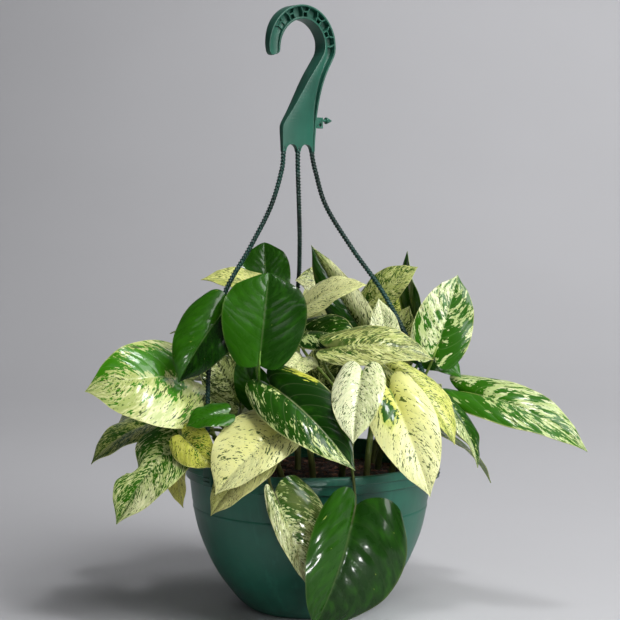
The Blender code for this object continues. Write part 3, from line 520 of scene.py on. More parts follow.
def spoke(turn, radius):
    """A point round the centre of the hook's arc, as (across, height)."""
    return Vector((radius * math.cos(math.radians(turn)),
                   HOOK_CENTRE + radius * math.sin(math.radians(turn))))


def hook_stations(steps):
    """Inner edge, outer edge, half depth and inner flange along the hook, smoothed."""
    middle, half = (HOOK_OUTER + HOOK_INNER) / 2, (HOOK_OUTER - HOOK_INNER) / 2
    rows = []
    for turn, share, depth in HOOK_TIP + tuple((turn, 1, depth) for turn, depth in HOOK_ARC):
        rows.append((spoke(turn, middle - half * share), spoke(turn, middle + half * share), depth, FLANGE))
    rows += [(Vector((left, height)), Vector((right, height)), depth, flange)
             for height, left, right, depth, flange in SHANK]
    inner = smooth_path([(row[0].x, row[0].y, row[2]) for row in rows], steps)
    outer = smooth_path([(row[1].x, row[1].y, row[3]) for row in rows], steps)
    return [(a.xy, b.xy, a.z, b.z) for a, b in zip(inner, outer)]


def channel_ring(inner, outer, depth, inner_flange):
    """Section of the hook: a web between two flanges, open to the front and the back."""
    across = (outer - inner).normalized()
    first, second = inner + across * inner_flange, outer - across * THIN_FLANGE
    if (second - first).dot(across) < 0.2:
        first = second = (inner + outer) / 2
        first, second = first - across * 0.1, second + across * 0.1
    web = min(WEB, depth - 0.6)
    half = [(inner, depth), (first, depth), (first, web), (second, web), (second, depth), (outer, depth)]
    ring = half + [(point, -out) for point, out in reversed(half)]
    return [in_hook(point.x, point.y, out) for point, out in ring]


def rounded(ring, radius):
    """The ring with each corner replaced by three points on a small curve."""
    points = []
    for before, corner, after in zip(ring[-1:] + ring[:-1], ring, ring[1:] + ring[:1]):
        near = corner.lerp(before, min(0.32, radius / max(0.01, (before - corner).length)))
        far = corner.lerp(after, min(0.32, radius / max(0.01, (after - corner).length)))
        points += [near, (near + far) / 4 + corner / 2, far]
    return points


hook = bmesh.new()
sweep(hook, [rounded(channel_ring(*station), 0.45) for station in hook_stations(3)])
hook_piece = to_piece(hook, "hook_channel", hanger_plastic, ["hanger"])

# %% [markdown]
# The paddle ends in two arches between the roots of the strands. They are cut out with round bars,
# and so is the eye of the label peg.

# %% Arches and label peg
STRAND_ROOTS = (-16.8, -2.0, 12.8)
EYE_ACROSS, EYE_HEIGHT, EYE_RADIUS = 20.4, 387.2, 1.3
LUG_LOW, LUG_HIGH = (14.4, -1.4, 384.6), (23.4, 1.4, 393.4)
PIN_HEIGHT, PIN_SECTIONS = 391.0, ((22.5, 1.1), (27.2, 1.1), (27.3, 2.7), (28.2, 2.7), (33.4, 0.4))


def bar_through(bm, across, height, radius, reach=9.0):
    """A round bar through the hook from front to back, to cut with."""
    turn = Matrix.Translation(in_hook(across, height) * MM) @ Matrix.Rotation(HOOK_TURN, 4, "Z")
    turn = turn @ Matrix.Rotation(math.radians(90), 4, "X")
    bmesh.ops.create_cone(bm, cap_ends=True, segments=32, radius1=radius * MM, radius2=radius * MM,
                          depth=2 * reach * MM, matrix=turn)


arches = bmesh.new()
for left, right in zip(STRAND_ROOTS, STRAND_ROOTS[1:]):
    bar_through(arches, (left + right) / 2, PADDLE_FOOT, ARCH_RADIUS)
cut(hook_piece, arches, sharp=50)

peg = bmesh.new()
box(peg, LUG_LOW, LUG_HIGH, lambda p: in_hook(p.x, p.z, p.y), bevel=0.4)
lug = to_piece(peg, "label_lug", hanger_plastic, ["hanger"])
eye = bmesh.new()
bar_through(eye, EYE_ACROSS, EYE_HEIGHT, EYE_RADIUS)
cut(lug, eye)
pin = bmesh.new()
pin_rings = [[in_hook(across, PIN_HEIGHT + radius * math.cos(a), radius * math.sin(a))
              for a in [2 * math.pi * k / 16 for k in range(16)]] for across, radius in PIN_SECTIONS]
sweep(pin, pin_rings)
to_piece(pin, "label_pin", hanger_plastic, ["hanger"])

# %% [markdown]
# ## Ribs of the hook
#
# Ribs stand in the channel in the shape of an H with spread arms: a bar along the middle, two legs
# to the inner flange and two arms to the outer one. Each is five thin bars that stand out on both
# sides of the web. Where the channel straightens, the last rib is only half of one.

# %% Ribs
# Turns and leans in degrees, the rest in millimetres
RIB_TURNS = (142, 116, 86, 54, 25, -3)
RIB_HALF, RIB_BEVEL, KNOT_RADIUS, RIB_SINK = 0.5, 0.15, 27.5, 0.6
KNOT_LEAN, LEG_LEAN, ARM_LEAN = 5.2, 6.0, 9.4
TIP_REACH, MOST_REACH = 2.6, 6.0
ribs = bmesh.new()
for turn in RIB_TURNS:
    reach = TIP_REACH if turn > 130 else min(MOST_REACH, 4.2 + 0.02 * (130 - turn))
    sides = (-1, 1) if turn > 0 else (1,)
    knots = [spoke(turn + side * KNOT_LEAN, KNOT_RADIUS) for side in sides]
    bars = [tuple(knots)] if len(knots) == 2 else []
    for side, knot in zip(sides, knots):
        bars += [(knot, spoke(turn + side * LEG_LEAN, HOOK_INNER + RIB_SINK)),
                 (knot, spoke(turn + side * ARM_LEAN, HOOK_OUTER - RIB_SINK))]
    for knot, end in bars:
        way = (end - knot).normalized()
        off = Vector((-way.y, way.x)) * RIB_HALF
        start = knot - way * 0.4
        corners = (start - off, start + off, end + off, end - off)
        sweep(ribs, [[in_hook(c.x, c.y, out) for c in corners] for out in (-reach, reach)])
bevelled(ribs, ribs.edges, RIB_BEVEL)
to_piece(ribs, "hook_ribs", hanger_plastic, ["hanger"])

# %% [markdown]
# ## Strands
#
# The three strands are moulded with the hook, in the shape of a laid rope: three lobes that wind
# round each other. The section has three bumps, and it turns a little at each station of the path.

# %% Strands
STRAND_RADIUS, ROPE_DEPTH, LAY_MM = 1.6, 0.36, 8.0
STRAND_SIDES, STATION_MM = 18, 0.6
STRAND_ROUTES = (
    ((-22.6, -12.6, 350), (-31.0, -20.0, 322), (-47.0, -33.0, 290), (-66.0, -47.5, 255),
     (-76.6, -58.0, 208), (-78.2, -66.0, 168)),
    ((-9.6, 3.0, 350), (-8.8, 17.0, 322), (-8.4, 41.0, 290), (-10.0, 69.0, 255),
     (-17.5, 94.5, 208), (-21.3, 102.2, 168)),
    ((4.4, 8.4, 350), (13.0, 4.6, 322), (34.0, -4.6, 288), (58.0, -14.0, 254),
     (82.0, -24.0, 208), (97.0, -31.0, 168)),
)
CLIP_RADIUS, END_LENGTH, END_SWELL = 104.8, 9, 0.55


def even(path, spacing):
    """The same path with points an even distance apart."""
    points, left = [path[0]], spacing
    for a, b in zip(path, path[1:]):
        run, way = (b - a).length, (b - a).normalized()
        while run > left:
            a = a + way * left
            run -= left
            points.append(a)
            left = spacing
        left -= run
    return points


rope = bmesh.new()
for azimuth, route, root in zip(STRAND_TURNS, STRAND_ROUTES, STRAND_ROOTS):
    start = [in_hook(root, PADDLE_FOOT + rise) for rise in (4, -2)]
    end = [at_clip(azimuth)((CLIP_RADIUS, 0, RIM_HEIGHT + rise)) for rise in (22, 10)]
    path = even(smooth_path(start + list(route) + end, 12), STATION_MM)
    last = len(path) - 1

    def lobes(i, angle):
        """Three lobes that wind, smooth and thicker where the strand meets hook and clip."""
        near_end = max(0.0, 1 - min(i, last - i) * STATION_MM / END_LENGTH)
        wound = math.cos(3 * (angle + 2 * math.pi * i * STATION_MM / LAY_MM))
        return (STRAND_RADIUS + END_SWELL * near_end) * (1 + ROPE_DEPTH * (1 - near_end) * wound)

    sweep(rope, bar_rings(path, lobes, STRAND_SIDES))
to_piece(rope, "strands", shaded_strand_plastic, ["hanger"], sharp=70)

# %% [markdown]
# ## Clips
#
# Each strand ends in a toggle: a block above the rim, a leg down the outside of the lip, and a foot
# that goes in through the slot and catches behind the wall.

# %% Clips
CLIP_FOOT, CLIP_TOP = SLOT_FOOT + FIT, RIM_HEIGHT + 2.2
# Lowest and highest corner of each box as (out, across, height), then its bevel
CLIP_BOXES = (
    ((102.0, -4.6, CLIP_TOP), (107.4, 4.6, CLIP_TOP + 18), 1.2),
    ((LIP_RADIUS + FIT, -4.6, CLIP_FOOT), (106.2, 4.6, CLIP_TOP + 1), 0.7),
    ((94.6, -3.6, CLIP_FOOT), (105.8, 3.6, CLIP_FOOT + 3.2), 0.5),
    ((94.6, -3.6, CLIP_FOOT), (96.9, 3.6, CLIP_FOOT + 6.4), 0.5),
    ((106.0, -3.4, CLIP_FOOT + 3), (107.0, 3.4, CLIP_FOOT + 4.4), 0.3),
    ((106.0, -3.4, CLIP_FOOT + 6), (107.0, 3.4, CLIP_FOOT + 7.4), 0.3),
)
clips = bmesh.new()
for azimuth in STRAND_TURNS:
    for low, high, bevel in CLIP_BOXES:
        box(clips, low, high, at_clip(azimuth), bevel=bevel)
to_piece(clips, "clips", hanger_plastic, ["hanger"])

# %% [markdown]
# ## Vines
#
# A devil's ivy stem climbs out of the mix and gives off one leaf at a time. The frame holds each
# vine as a coarse solid. The fine leaves below follow the same rule of form, on a grid that is
# fine enough for veins, thin margins and the drawn-out tip.

# %% Where the vines grow
# Vines: kind of the leaves, foot (x, y) on the mix, and top of the stem, in millimetres
VINES = {
    "vine_front": ("green", (24, -58), (27, -68, 135)),
    "vine_left_front": ("marbled", (-22, -52), (-30, -66, 136)),
    "vine_centre_front": ("marbled", (2, -36), (-2, -44, 152)),
    "vine_right_front": ("marbled", (44, -40), (48, -44, 152)),
    "vine_right": ("marbled", (66, -8), (76, -10, 148)),
    "vine_right_green": ("green", (56, 20), (66, 16, 152)),
    "vine_left": ("marbled", (-54, -26), (-62, -32, 140)),
    "vine_left_green": ("green", (-34, -8), (-42, -22, 154)),
    "vine_far_left": ("marbled", (-66, 10), (-78, 6, 136)),
    "vine_centre": ("marbled", (-10, 8), (-10, 10, 166)),
    "vine_centre_right": ("marbled", (26, 6), (30, 8, 160)),
    "vine_back_green": ("green", (-26, 44), (-30, 48, 152)),
    "vine_back": ("marbled", (16, 60), (18, 66, 148)),
    "vine_back_right": ("marbled", (54, 48), (60, 54, 144)),
    "vine_back_left": ("marbled", (-56, 44), (-64, 50, 144)),
}
# Leaves: name, vine, base, tip, the way the upper face looks, width, arch and lift of the sides
LEAVES = (
    ("front_heart", "vine_front", (33, -120, 104), (2, -126, 14), (0.36, -0.92, 0.22), 76, 0.10, 0.15),
    ("front_left_cream", "vine_left_front", (-18, -94, 157), (-69, -124, 113), (-0.32, -0.80, 0.50),
     56, 0.10, 0.10),
    ("over_rim", "vine_left_front", (-25, -113, 113), (2, -109, 46), (0.50, -0.85, 0.15), 42, 0.06, 0.20),
    ("front_left_under", "vine_left_front", (-34, -92, 134), (-71, -110, 93), (-0.45, -0.80, 0.35),
     34, 0.10, 0.14),
    ("front_split", "vine_centre_front", (-30, -79, 188), (33, -124, 131), (-0.12, -0.74, 0.66),
     52, 0.14, 0.16),
    ("front_speckled", "vine_centre_front", (38, -92, 199), (30, -126, 149), (-0.30, -0.90, 0.36),
     40, 0.10, 0.14),
    ("front_cream", "vine_right_front", (60, -80, 185), (88, -120, 111), (0.02, -0.88, 0.45),
     50, 0.10, 0.12),
    ("crossing_strand", "vine_centre_right", (48, 14, 212), (1, 2, 291), (-0.34, -0.90, 0.20),
     34, 0.05, 0.26),
    ("dark_upright", "vine_left_green", (-38, -88, 205), (-31, -62, 272), (0.00, -0.94, 0.30),
     66, 0.04, 0.05),
    ("left_round", "vine_left", (-89, -54, 183), (-166, -84, 168), (-0.12, -0.84, 0.50), 78, 0.16, 0.06),
    ("left_torn", "vine_left", (-97, -68, 150), (-144, -104, 87), (-0.38, -0.80, 0.46), 54, 0.08, 0.06),
    ("far_right", "vine_right", (120, -15, 175), (215, -52, 133), (-0.05, -0.62, 0.78), 46, 0.12, 0.12),
    ("right_upright", "vine_right", (98, -26, 205), (118, -8, 268), (0.10, -1.0, 0.22), 48, 0.06, 0.08),
    ("top_cream", "vine_centre", (-8, -18, 240), (44, -44, 262), (0.06, -0.66, 0.75), 34, 0.10, 0.16),
    ("long_cream", "vine_centre_right", (16, -60, 214), (94, -66, 206), (0.04, -0.62, 0.80),
     44, 0.12, 0.06),
    ("right_lime", "vine_right_front", (58, -50, 198), (108, -78, 142), (0.50, -0.58, 0.62),
     46, 0.12, 0.14),
    ("top_speckled", "vine_centre", (26, 38, 252), (-12, 24, 262), (-0.10, -0.70, 0.66), 38, 0.08, 0.08),
    ("top_yellow", "vine_centre", (-16, 6, 248), (-87, -6, 264), (-0.05, -0.42, 0.90), 44, 0.10, 0.08),
    ("dark_behind", "vine_back_green", (-35, 30, 236), (-38, 50, 292), (0.00, -0.96, 0.28),
     42, 0.04, 0.06),
    ("middle_striped", "vine_centre_right", (-8, -20, 224), (40, -44, 214), (0.10, -0.72, 0.68),
     40, 0.12, 0.12),
    ("dark_folded", "vine_left_green", (-64, -64, 244), (-93, -86, 186), (-0.30, -0.93, 0.15),
     48, 0.10, 0.20),
    ("left_yellow", "vine_left", (-92, -88, 148), (-70, -108, 126), (-0.35, -0.72, 0.60), 32, 0.10, 0.10),
    ("right_drip", "vine_right", (106, -46, 170), (131, -54, 121), (0.70, -0.45, 0.50), 30, 0.10, 0.16),
    ("right_plain", "vine_right_green", (84, 2, 208), (120, -14, 186), (0.10, -0.60, 0.78),
     34, 0.10, 0.12),
    ("right_blade", "vine_right_green", (90, 24, 216), (80, 36, 285), (-0.92, -0.38, 0.05),
     34, 0.06, 0.16),
    ("upright_cream", "vine_right_front", (62, -26, 204), (54, -22, 250), (0.15, -0.95, 0.20),
     26, 0.06, 0.10),
    ("top_right_point", "vine_centre_right", (44, 36, 242), (86, 28, 269), (-0.10, -0.86, 0.50),
     30, 0.08, 0.12),
    ("right_behind", "vine_right_green", (60, 44, 216), (78, 62, 254), (-0.20, -0.85, 0.48),
     38, 0.12, 0.10),
    ("left_small_green", "vine_left_green", (-62, -84, 166), (-92, -92, 156), (-0.30, -0.66, 0.68),
     28, 0.10, 0.10),
    ("left_hanging", "vine_far_left", (-104, -30, 137), (-99, -48, 88), (-0.70, -0.70, 0.20),
     26, 0.08, 0.10),
    ("far_left", "vine_far_left", (-112, -6, 152), (-174, -22, 118), (-0.40, -0.40, 0.80),
     48, 0.12, 0.10),
    ("left_back_edge", "vine_far_left", (-104, 26, 162), (-160, 56, 132), (-0.45, 0.20, 0.86),
     54, 0.12, 0.10),
    ("pale_middle", "vine_centre_front", (-6, -44, 206), (-20, -78, 196), (0.00, -0.60, 0.80),
     32, 0.10, 0.08),
)
ROUND_LEAVES = ("dark_upright", "dark_behind")
LOPSIDED = {"front_heart": -0.26, "front_left_cream": 0.24, "over_rim": -0.45, "left_round": -0.14}
TORN_LEAF, TEAR_PLACE, TEAR_WIDTH, TEAR_DEPTH = "left_torn", 0.42, 0.12, 0.62
# Inner leaves, shaded by the others: a row as above, then how far up the stem the petiole starts
INNER_LEAVES = (
    ("inner_left", "vine_back_left", (-58, 8, 164), (-84, 0, 212), (-0.10, -0.94, 0.30), 40, 0.06, 0.08,
     0.30),
    ("inner_dark", "vine_left_green", (-40, 0, 164), (-56, -16, 206), (-0.10, -0.94, 0.30), 30, 0.08, 0.10,
     0.20),
    ("inner_middle", "vine_centre", (6, 24, 172), (18, 16, 222), (0.05, -0.95, 0.28), 38, 0.06, 0.10, 0.30),
    ("inner_right", "vine_back_right", (62, 30, 182), (90, 24, 230), (0.05, -0.95, 0.28), 40, 0.06, 0.08,
     0.30),
    ("inner_front_right", "vine_right_green", (66, -2, 166), (52, -12, 206), (0.05, -0.95, 0.28), 30, 0.08,
     0.10, 0.20),
    ("inner_low", "vine_back", (34, 58, 166), (46, 92, 128), (0.15, 0.66, 0.74), 36, 0.12, 0.10, 0.30),
    ("inner_low_left", "vine_back_green", (-20, 60, 170), (-34, 100, 136), (-0.10, 0.66, 0.74), 36, 0.12,
     0.10, 0.30),
    ("inner_back", "vine_back", (6, 78, 184), (-14, 126, 176), (-0.10, 0.40, 0.90), 42, 0.12, 0.10, 0.15),
    ("inner_back_right", "vine_back_right", (78, 60, 172), (112, 92, 158), (0.30, 0.35, 0.88), 38, 0.12,
     0.10, 0.15),
)
# Far side: vine, first azimuth, step, count, ring radius, height, length and drop of the tips
BACK_SEED, BACK_TURN, BACK_SHIFT, BACK_RISE = 7, 5, 4, 6
BACK_LENGTH, BACK_WIDTH, BACK_ARCH, BACK_LIFT = (0.9, 1.1), (0.60, 0.70), 0.12, 0.10
BACK_TIERS = (
    ("vine_back_left", 150, -27, 3, 78, 158, 80, 0.62),
    ("vine_back", 80, -26, 2, 84, 154, 84, 0.70),
    ("vine_back_right", 28, -26, 2, 86, 156, 84, 0.62),
    ("vine_back_green", 126, -34, 2, 58, 196, 76, 0.10),
    ("vine_back", 70, -26, 1, 56, 206, 74, -0.10),
    ("vine_back_right", 46, -26, 1, 66, 196, 76, 0.05),
    ("vine_back_left", 160, -24, 2, 60, 204, 70, -0.15),
    ("vine_back", 72, -26, 1, 36, 232, 70, -0.45),
    ("vine_back_green", 128, -50, 1, 48, 176, 70, 0.35),
    ("vine_back_left", 156, -38, 1, 60, 180, 70, 0.28),
)
print(len(VINES), "vines,", len(LEAVES), "leaves in front")


# %% Leaves on the far side
def back_leaves():
    """Rows of the leaves that the photograph doesn't show, each a little different."""
    draw = random.Random(BACK_SEED)
    leaves = []
    for tier, (vine, first, step, count, ring, height, length, drop) in enumerate(BACK_TIERS):
        for i in range(count):
            turn = math.radians(first + step * i + draw.uniform(-BACK_TURN, BACK_TURN))
            out = Vector((math.cos(turn), math.sin(turn), 0))
            long = length * draw.uniform(*BACK_LENGTH)
            base = out * (ring + draw.uniform(-BACK_SHIFT, BACK_SHIFT))
            base += UP * (height + draw.uniform(-BACK_RISE, BACK_RISE))
            tip = base + (out - UP * drop).normalized() * long
            face = UP + out * (0.35 + drop * 0.5)
            leaves.append((f"back_{tier}_{i}", vine, base, tip, face, long * draw.uniform(*BACK_WIDTH),
                           BACK_ARCH, BACK_LIFT))
    return leaves


def all_leaves():
    """Every leaf and how far up its stem it starts: evenly spaced ones first, then inner ones."""
    rows = list(LEAVES) + back_leaves()
    counts = {vine: sum(1 for row in rows if row[1] == vine) for vine in VINES}
    used = dict.fromkeys(VINES, 0)
    leaves = []
    for row in rows:
        leaves.append((row, (used[row[1]] + 0.9) / counts[row[1]]))
        used[row[1]] += 1
    return leaves + [(row[:-1], row[-1]) for row in INNER_LEAVES]


print(len(all_leaves()), "leaves with the far side and the inner ones")

# %% [markdown]
# ## Form of a leaf
#
# A blade is a grid over (across, share): across runs from edge to edge and share from the base to
# the tip. A rule moves each point out to the heart-shaped outline, back into the lobes, and up into
# the arch. The fine form adds what the frame leaves out: the groove of the midrib, the quilting
# between the side veins, a wavy margin and the drip tip.

# %% Leaf form
BLADE, CAD_BLADE = 0.55, 0.9
# Half width at a share of the length: (1 - share) ** tip * (share + start) ** base / most
HEART_OUTLINE = (1.0, 0.12, 0.45, 0.480)
ROUND_OUTLINE, CAD_ROUND_OUTLINE = (0.60, 0.10, 0.55, 0.515), (0.72, 0.10, 0.55, 0.487)
DRIP_START, DRIP_SLIM, TIP_WIDTH, CAD_TIP_WIDTH = 0.78, 0.35, 0.008, 0.03
LOBES, ROUND_LOBES, MARGIN_LEAD = 0.13, 0.05, 0.10
SWELL, MARGIN_WAVE = 1.1, 0.45
VEINS, VEIN_BOW, VEIN_CURVE, PLUS_PHASE = 8.5, 0.14, 0.10, 0.9
GROOVE, GROOVE_WIDTH = 0.55, 1.5
QUILT, QUILTED = 0.20, {"front_heart": 1.0}     # the second names leaves with deeper quilting
BEND_TRIES, LAST_BEND = 260, 0.75
FULL_TURNS, FULL_SHIFT, FULL_SWAY = (0.6, 0.7, 0.9), 22.0, 70.0


def vein_place(across, share):
    """Runs 0 to 1 from base to tip and stays level along each curved side vein."""
    away = abs(across)
    return share - VEIN_BOW * away - VEIN_CURVE * away ** 2


class Leaf:
    """One blade of the frame, bent by one numbered draw."""

    def __init__(self, row, attempt):
        self.name, self.vine, base, tip, face, self.width, self.arch, self.lift = row
        self.is_round = self.name in ROUND_LEAVES
        self.skew = LOPSIDED.get(self.name, 0.0)
        base, tip, face = Vector(base), Vector(tip), Vector(face)
        along = (tip - base).normalized()
        face = (face - along * face.dot(along)).normalized()
        self.length = (tip - base).length
        draw = random.Random(f"{self.name} {attempt}")
        reach = LAST_BEND * attempt / BEND_TRIES
        turn = Quaternion()
        for axis, most in zip((face, along.cross(face), along), FULL_TURNS):
            turn = Quaternion(axis, draw.uniform(-most, most) * reach) @ turn
        shift = Vector([draw.uniform(-1, 1) for _ in range(3)]) * FULL_SHIFT * reach
        self.sway = Vector([draw.uniform(-1, 1) for _ in range(3)]) * FULL_SWAY * reach
        self.along, self.face = turn @ along, turn @ face
        self.side = self.along.cross(self.face)
        self.base = base + shift

    def point(self, across, share, fine=False):
        """Place on the upper face, in millimetres."""
        away = abs(across)
        outline = (ROUND_OUTLINE if fine else CAD_ROUND_OUTLINE) if self.is_round else HEART_OUTLINE
        tip, start, base, most = outline
        wide = (1 - share) ** tip * (share + start) ** base / most
        drip = DRIP_SLIM * max(0.0, (share - DRIP_START) / (1 - DRIP_START))
        wide = max(TIP_WIDTH, wide * (1 - drip)) if fine else max(CAD_TIP_WIDTH, wide)
        half = wide * self.width / 2
        half *= 1 + math.copysign(self.skew, self.skew * across)
        if self.name == TORN_LEAF and across > 0:
            half *= 1 - TEAR_DEPTH * away * math.exp(-((share - TEAR_PLACE) / TEAR_WIDTH) ** 2)
        lobes = ROUND_LOBES if self.is_round else LOBES
        lobes *= (4 * away * (1 - away)) ** 0.7 * (1 - share) ** 5
        forward = share - lobes + MARGIN_LEAD * away * math.sin(math.pi * share)
        height = self.arch * self.length * 4 * share * (1 - share)
        height += half * (self.lift * 3 * away - self.lift * 2.6 * away ** 2)
        height += SWELL * away ** 2 * math.sin(9.0 * share + 2.2 * across) * min(1, 4 * (1 - share))
        if fine:
            height += self.relief(across, share, half)
        return (self.base + self.along * forward * self.length + self.side * across * half
                + self.face * height)

    def relief(self, across, share, half):
        """Groove of the midrib, quilting between the veins and the waves of the margin."""
        away = abs(across)
        groove = -GROOVE * math.exp(-(across * half / GROOVE_WIDTH) ** 2) * (1 - share)
        calm = min(1.0, 5 * away) * (1 - away ** 4) * min(1.0, 6 * (1 - share)) * min(1.0, half / 9)
        phase = 2 * math.pi * VEINS * vein_place(across, share) + (PLUS_PHASE if across > 0 else 0)
        deep = QUILTED.get(self.name, QUILT) * (0.35 + 0.65 * share)
        quilt = deep * (abs(math.sin(phase / 2)) ** 0.8 - 0.6) * calm
        wave = MARGIN_WAVE * away ** 5 * math.sin(21 * share + 3 * across) * min(1, 4 * (1 - share))
        return groove + quilt + wave


# %% [markdown]
# Where leaves crowd, the frame's own leaves are turned a little by a numbered draw. The script
# finds the number for each leaf: it is the first whose blade lies on the frame's surface.

# %% Find each leaf in the frame
NEAR, LONG_BLADE, CHECK_ROWS = 0.25, 74, (4, 5)


def surface_of(node):
    """Search tree of a node's surface, in millimetres."""
    mesh = node.data
    return BVHTree.FromPolygons([vert.co / MM for vert in mesh.vertices],
                                [tuple(face.vertices) for face in mesh.polygons])


surfaces = {name: surface_of(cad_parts[name]) for name in VINES}
leaves = []
for row, share in all_leaves():
    rows = CHECK_ROWS[(Vector(row[3]) - Vector(row[2])).length > LONG_BLADE]
    checks = [(a / 2, s / rows) for s in range(rows, -1, -1) for a in (-2, -1, 0, 1, 2) if a or s]
    for attempt in range(BEND_TRIES):
        leaf = Leaf(row, attempt)
        if all(surfaces[leaf.vine].find_nearest(leaf.point(*check), NEAR)[0] for check in checks):
            leaves.append((leaf, share))
            break
    else:
        print(row[0], "isn't in the frame")
print(len(leaves), "leaves found in the frame")

# %% [markdown]
# ## Marbling
#
# Each leaf of this plant is marbled in its own way: cells with and without green are laid down in
# sectors, so one half of a leaf may be cream and the other green. A table gives each leaf its
# shares: green on the minus and the plus side, yellow, flecks, dryness, how deep the green is, how
# white the pale parts are and how bold the marks. A pair is for the two sides. A depth of 0 is
# already a little darker than the light green, and one under 0 comes closer to it. Some shares also
# paint shade: a deeper green on the half of a plain leaf that turns from the light, and more dryness
# and flecks on long_cream. Patches then add to a place on the blade, and a few of them are painted
# shade. The shares are stored on the points of the mesh, and the finish turns them into streaks that
# follow the veins.

# %% Marbling of each leaf
KINDS = ("green", "yellow", "fleck", "dry", "deep", "white", "bold")
MARBLING = {
    "front_left_cream": ((0.10, 0.06), (0.10, 0.26), 0.40, 0.0, 0.5, 0.30, 0.2),
    "over_rim": ((0.40, 0.30), 0.0, 0.8, 0.3, 0.5, 0.75, 0.1),
    "front_left_under": ((0.30, 0.34), 0.3, 0.5, 0.5, 0.6, 0.3, 0.3),
    "front_split": ((0.97, 0.52), (0.3, 0.0), 0.5, 0.0, (0.95, 0.75), 0.7, 0.3),
    "front_speckled": ((0.24, 0.18), (0.1, 0.0), 0.45, 0.0, (0.5, 0.6), 0.85, 0.2),
    "front_cream": ((0.08, 0.06), 0.04, 0.40, 0.0, 0.6, 0.35, 0.5),
    "crossing_strand": ((0.95, 0.55), (0.1, 0.0), 0.6, 0.0, (0.9, 0.7), 0.5, 0.5),
    "left_round": ((0.36, 0.34), 0.05, 0.45, 0.0, -0.3, 0.45, 0.5),
    "left_torn": ((0.46, 0.50), 0.0, 0.7, 0.0, 0.35, 0.6, 0.2),
    "far_right": ((0.44, 0.52), 0.0, 0.5, 0.0, 0.30, 0.9, 1.0),
    "right_upright": ((0.36, 0.64), 0.0, 0.5, 0.0, (0.30, 0.45), 0.9, 1.0),
    "top_cream": ((0.12, 0.20), 0.25, 0.5, 0.0, 0.5, 0.5, 0.4),
    # long_cream: its extra dryness and flecks also paint the shade on its left part
    "long_cream": ((0.46, 0.36), 0.05, 0.9, 0.4, 0.6, 0.4, 0.2),
    "right_lime": ((0.30, 0.34), (0.45, 0.40), 0.8, 0.0, 0.3, 0.2, 0.2),
    "top_speckled": ((0.22, 0.45), 0.1, 0.9, 0.4, 0.8, 0.6, 0.4),
    "top_yellow": ((0.34, 0.28), 0.35, 0.6, 0.15, 0.5, 0.3, 0.3),
    "middle_striped": ((0.62, 0.58), 0.0, 0.6, 0.0, 0.9, 0.8, 0.8),
    "left_yellow": ((0.34, 0.30), 0.75, 0.5, 0.0, 0.2, 0.0, 0.3),
    "right_drip": ((0.60, 0.40), (0.1, 0.0), 0.7, 0.0, (0.8, 0.7), 0.8, 0.5),
    "upright_cream": ((0.20, 0.22), 0.0, 0.6, 0.0, 0.7, 0.7, 0.4),
    "top_right_point": ((0.44, 0.40), 0.15, 0.6, 0.1, 0.5, 0.4, 0.4),
    "right_behind": ((0.50, 0.48), 0.4, 0.5, 0.1, 0.7, 0.2, 0.5),
    "left_hanging": ((0.16, 0.14), 0.7, 0.4, 0.45, 0.3, 0.0, 0.3),
    "far_left": ((0.50, 0.54), 0.2, 0.5, 0.1, 0.5, 0.4, 0.3),
    "left_back_edge": ((0.45, 0.35), (0.1, 0.2), 0.6, 0.1, 0.8, 0.4, 0.6),
    "pale_middle": ((0.24, 0.20), 0.1, 0.6, 0.0, 0.6, 0.5, 0.3),
    "inner_left": ((0.42, 0.50), 0.0, 0.7, 0.2, 0.9, 0.5, 0.5),
    "inner_middle": ((0.52, 0.58), 0.1, 0.7, 0.2, 0.9, 0.4, 0.5),
    "inner_right": ((0.36, 0.46), 0.1, 0.7, 0.2, 0.8, 0.4, 0.5),
}
# Plain green leaves: how deep the green is on the minus and the plus side. The deeper side is partly painted
# shade, on the half that turns from the light, as on dark_upright and dark_folded
GREEN_DEPTH_AND_SHADE = {
    "front_heart": (0.95, 0.70), "dark_upright": (0.55, 0.90), "dark_behind": (0.7, 0.8),
    "dark_folded": (1.0, 0.55), "right_plain": (0.15, 0.25),
    "right_blade": (0.45, 0.6), "left_small_green": (0.35, 0.45),
}
# Patches: leaf, what they add to, across, share, size, amount
PATCHES = (
    # Green at the base of front_left_cream is painted shade, for the shadow that lies at its base
    ("front_left_cream", "green", 0.0, 0.02, 0.14, 0.40),
    ("front_left_cream", "yellow", 0.0, 0.1, 0.3, 0.4),
    ("left_round", "green", 0.80, 0.75, 0.15, 0.55), ("left_round", "green", 0.40, 0.34, 0.18, 0.65),
    ("front_split", "green", -0.9, 0.16, 0.16, -0.5), ("front_split", "yellow", -0.9, 0.2, 0.3, 0.7),
    ("front_split", "green", 0.2, 0.35, 0.24, 0.25),
    # Yellow near the base of front_cream paints the yellow-olive shade on that part of the leaf
    ("front_cream", "yellow", 0.0, 0.15, 0.34, 0.7), ("front_cream", "green", 0.35, 0.24, 0.10, 0.9),
    ("crossing_strand", "green", 0.95, 0.45, 0.38, -0.5),
    ("long_cream", "green", 0.0, 0.0, 0.14, 0.7), ("over_rim", "dry", 0.0, 0.9, 0.4, 0.5),
    ("over_rim", "green", -0.5, 0.1, 0.25, 0.35), ("right_drip", "green", -0.8, 0.4, 0.3, 0.4),
    ("far_right", "green", 0.2, 0.08, 0.2, 0.5),
    ("left_torn", "green", -0.7, 0.7, 0.22, -0.25), ("front_left_under", "green", -0.9, 0.5, 0.3, -0.3),
)


RIB_BLEND, PATCH_NARROW = 0.12, 0.45


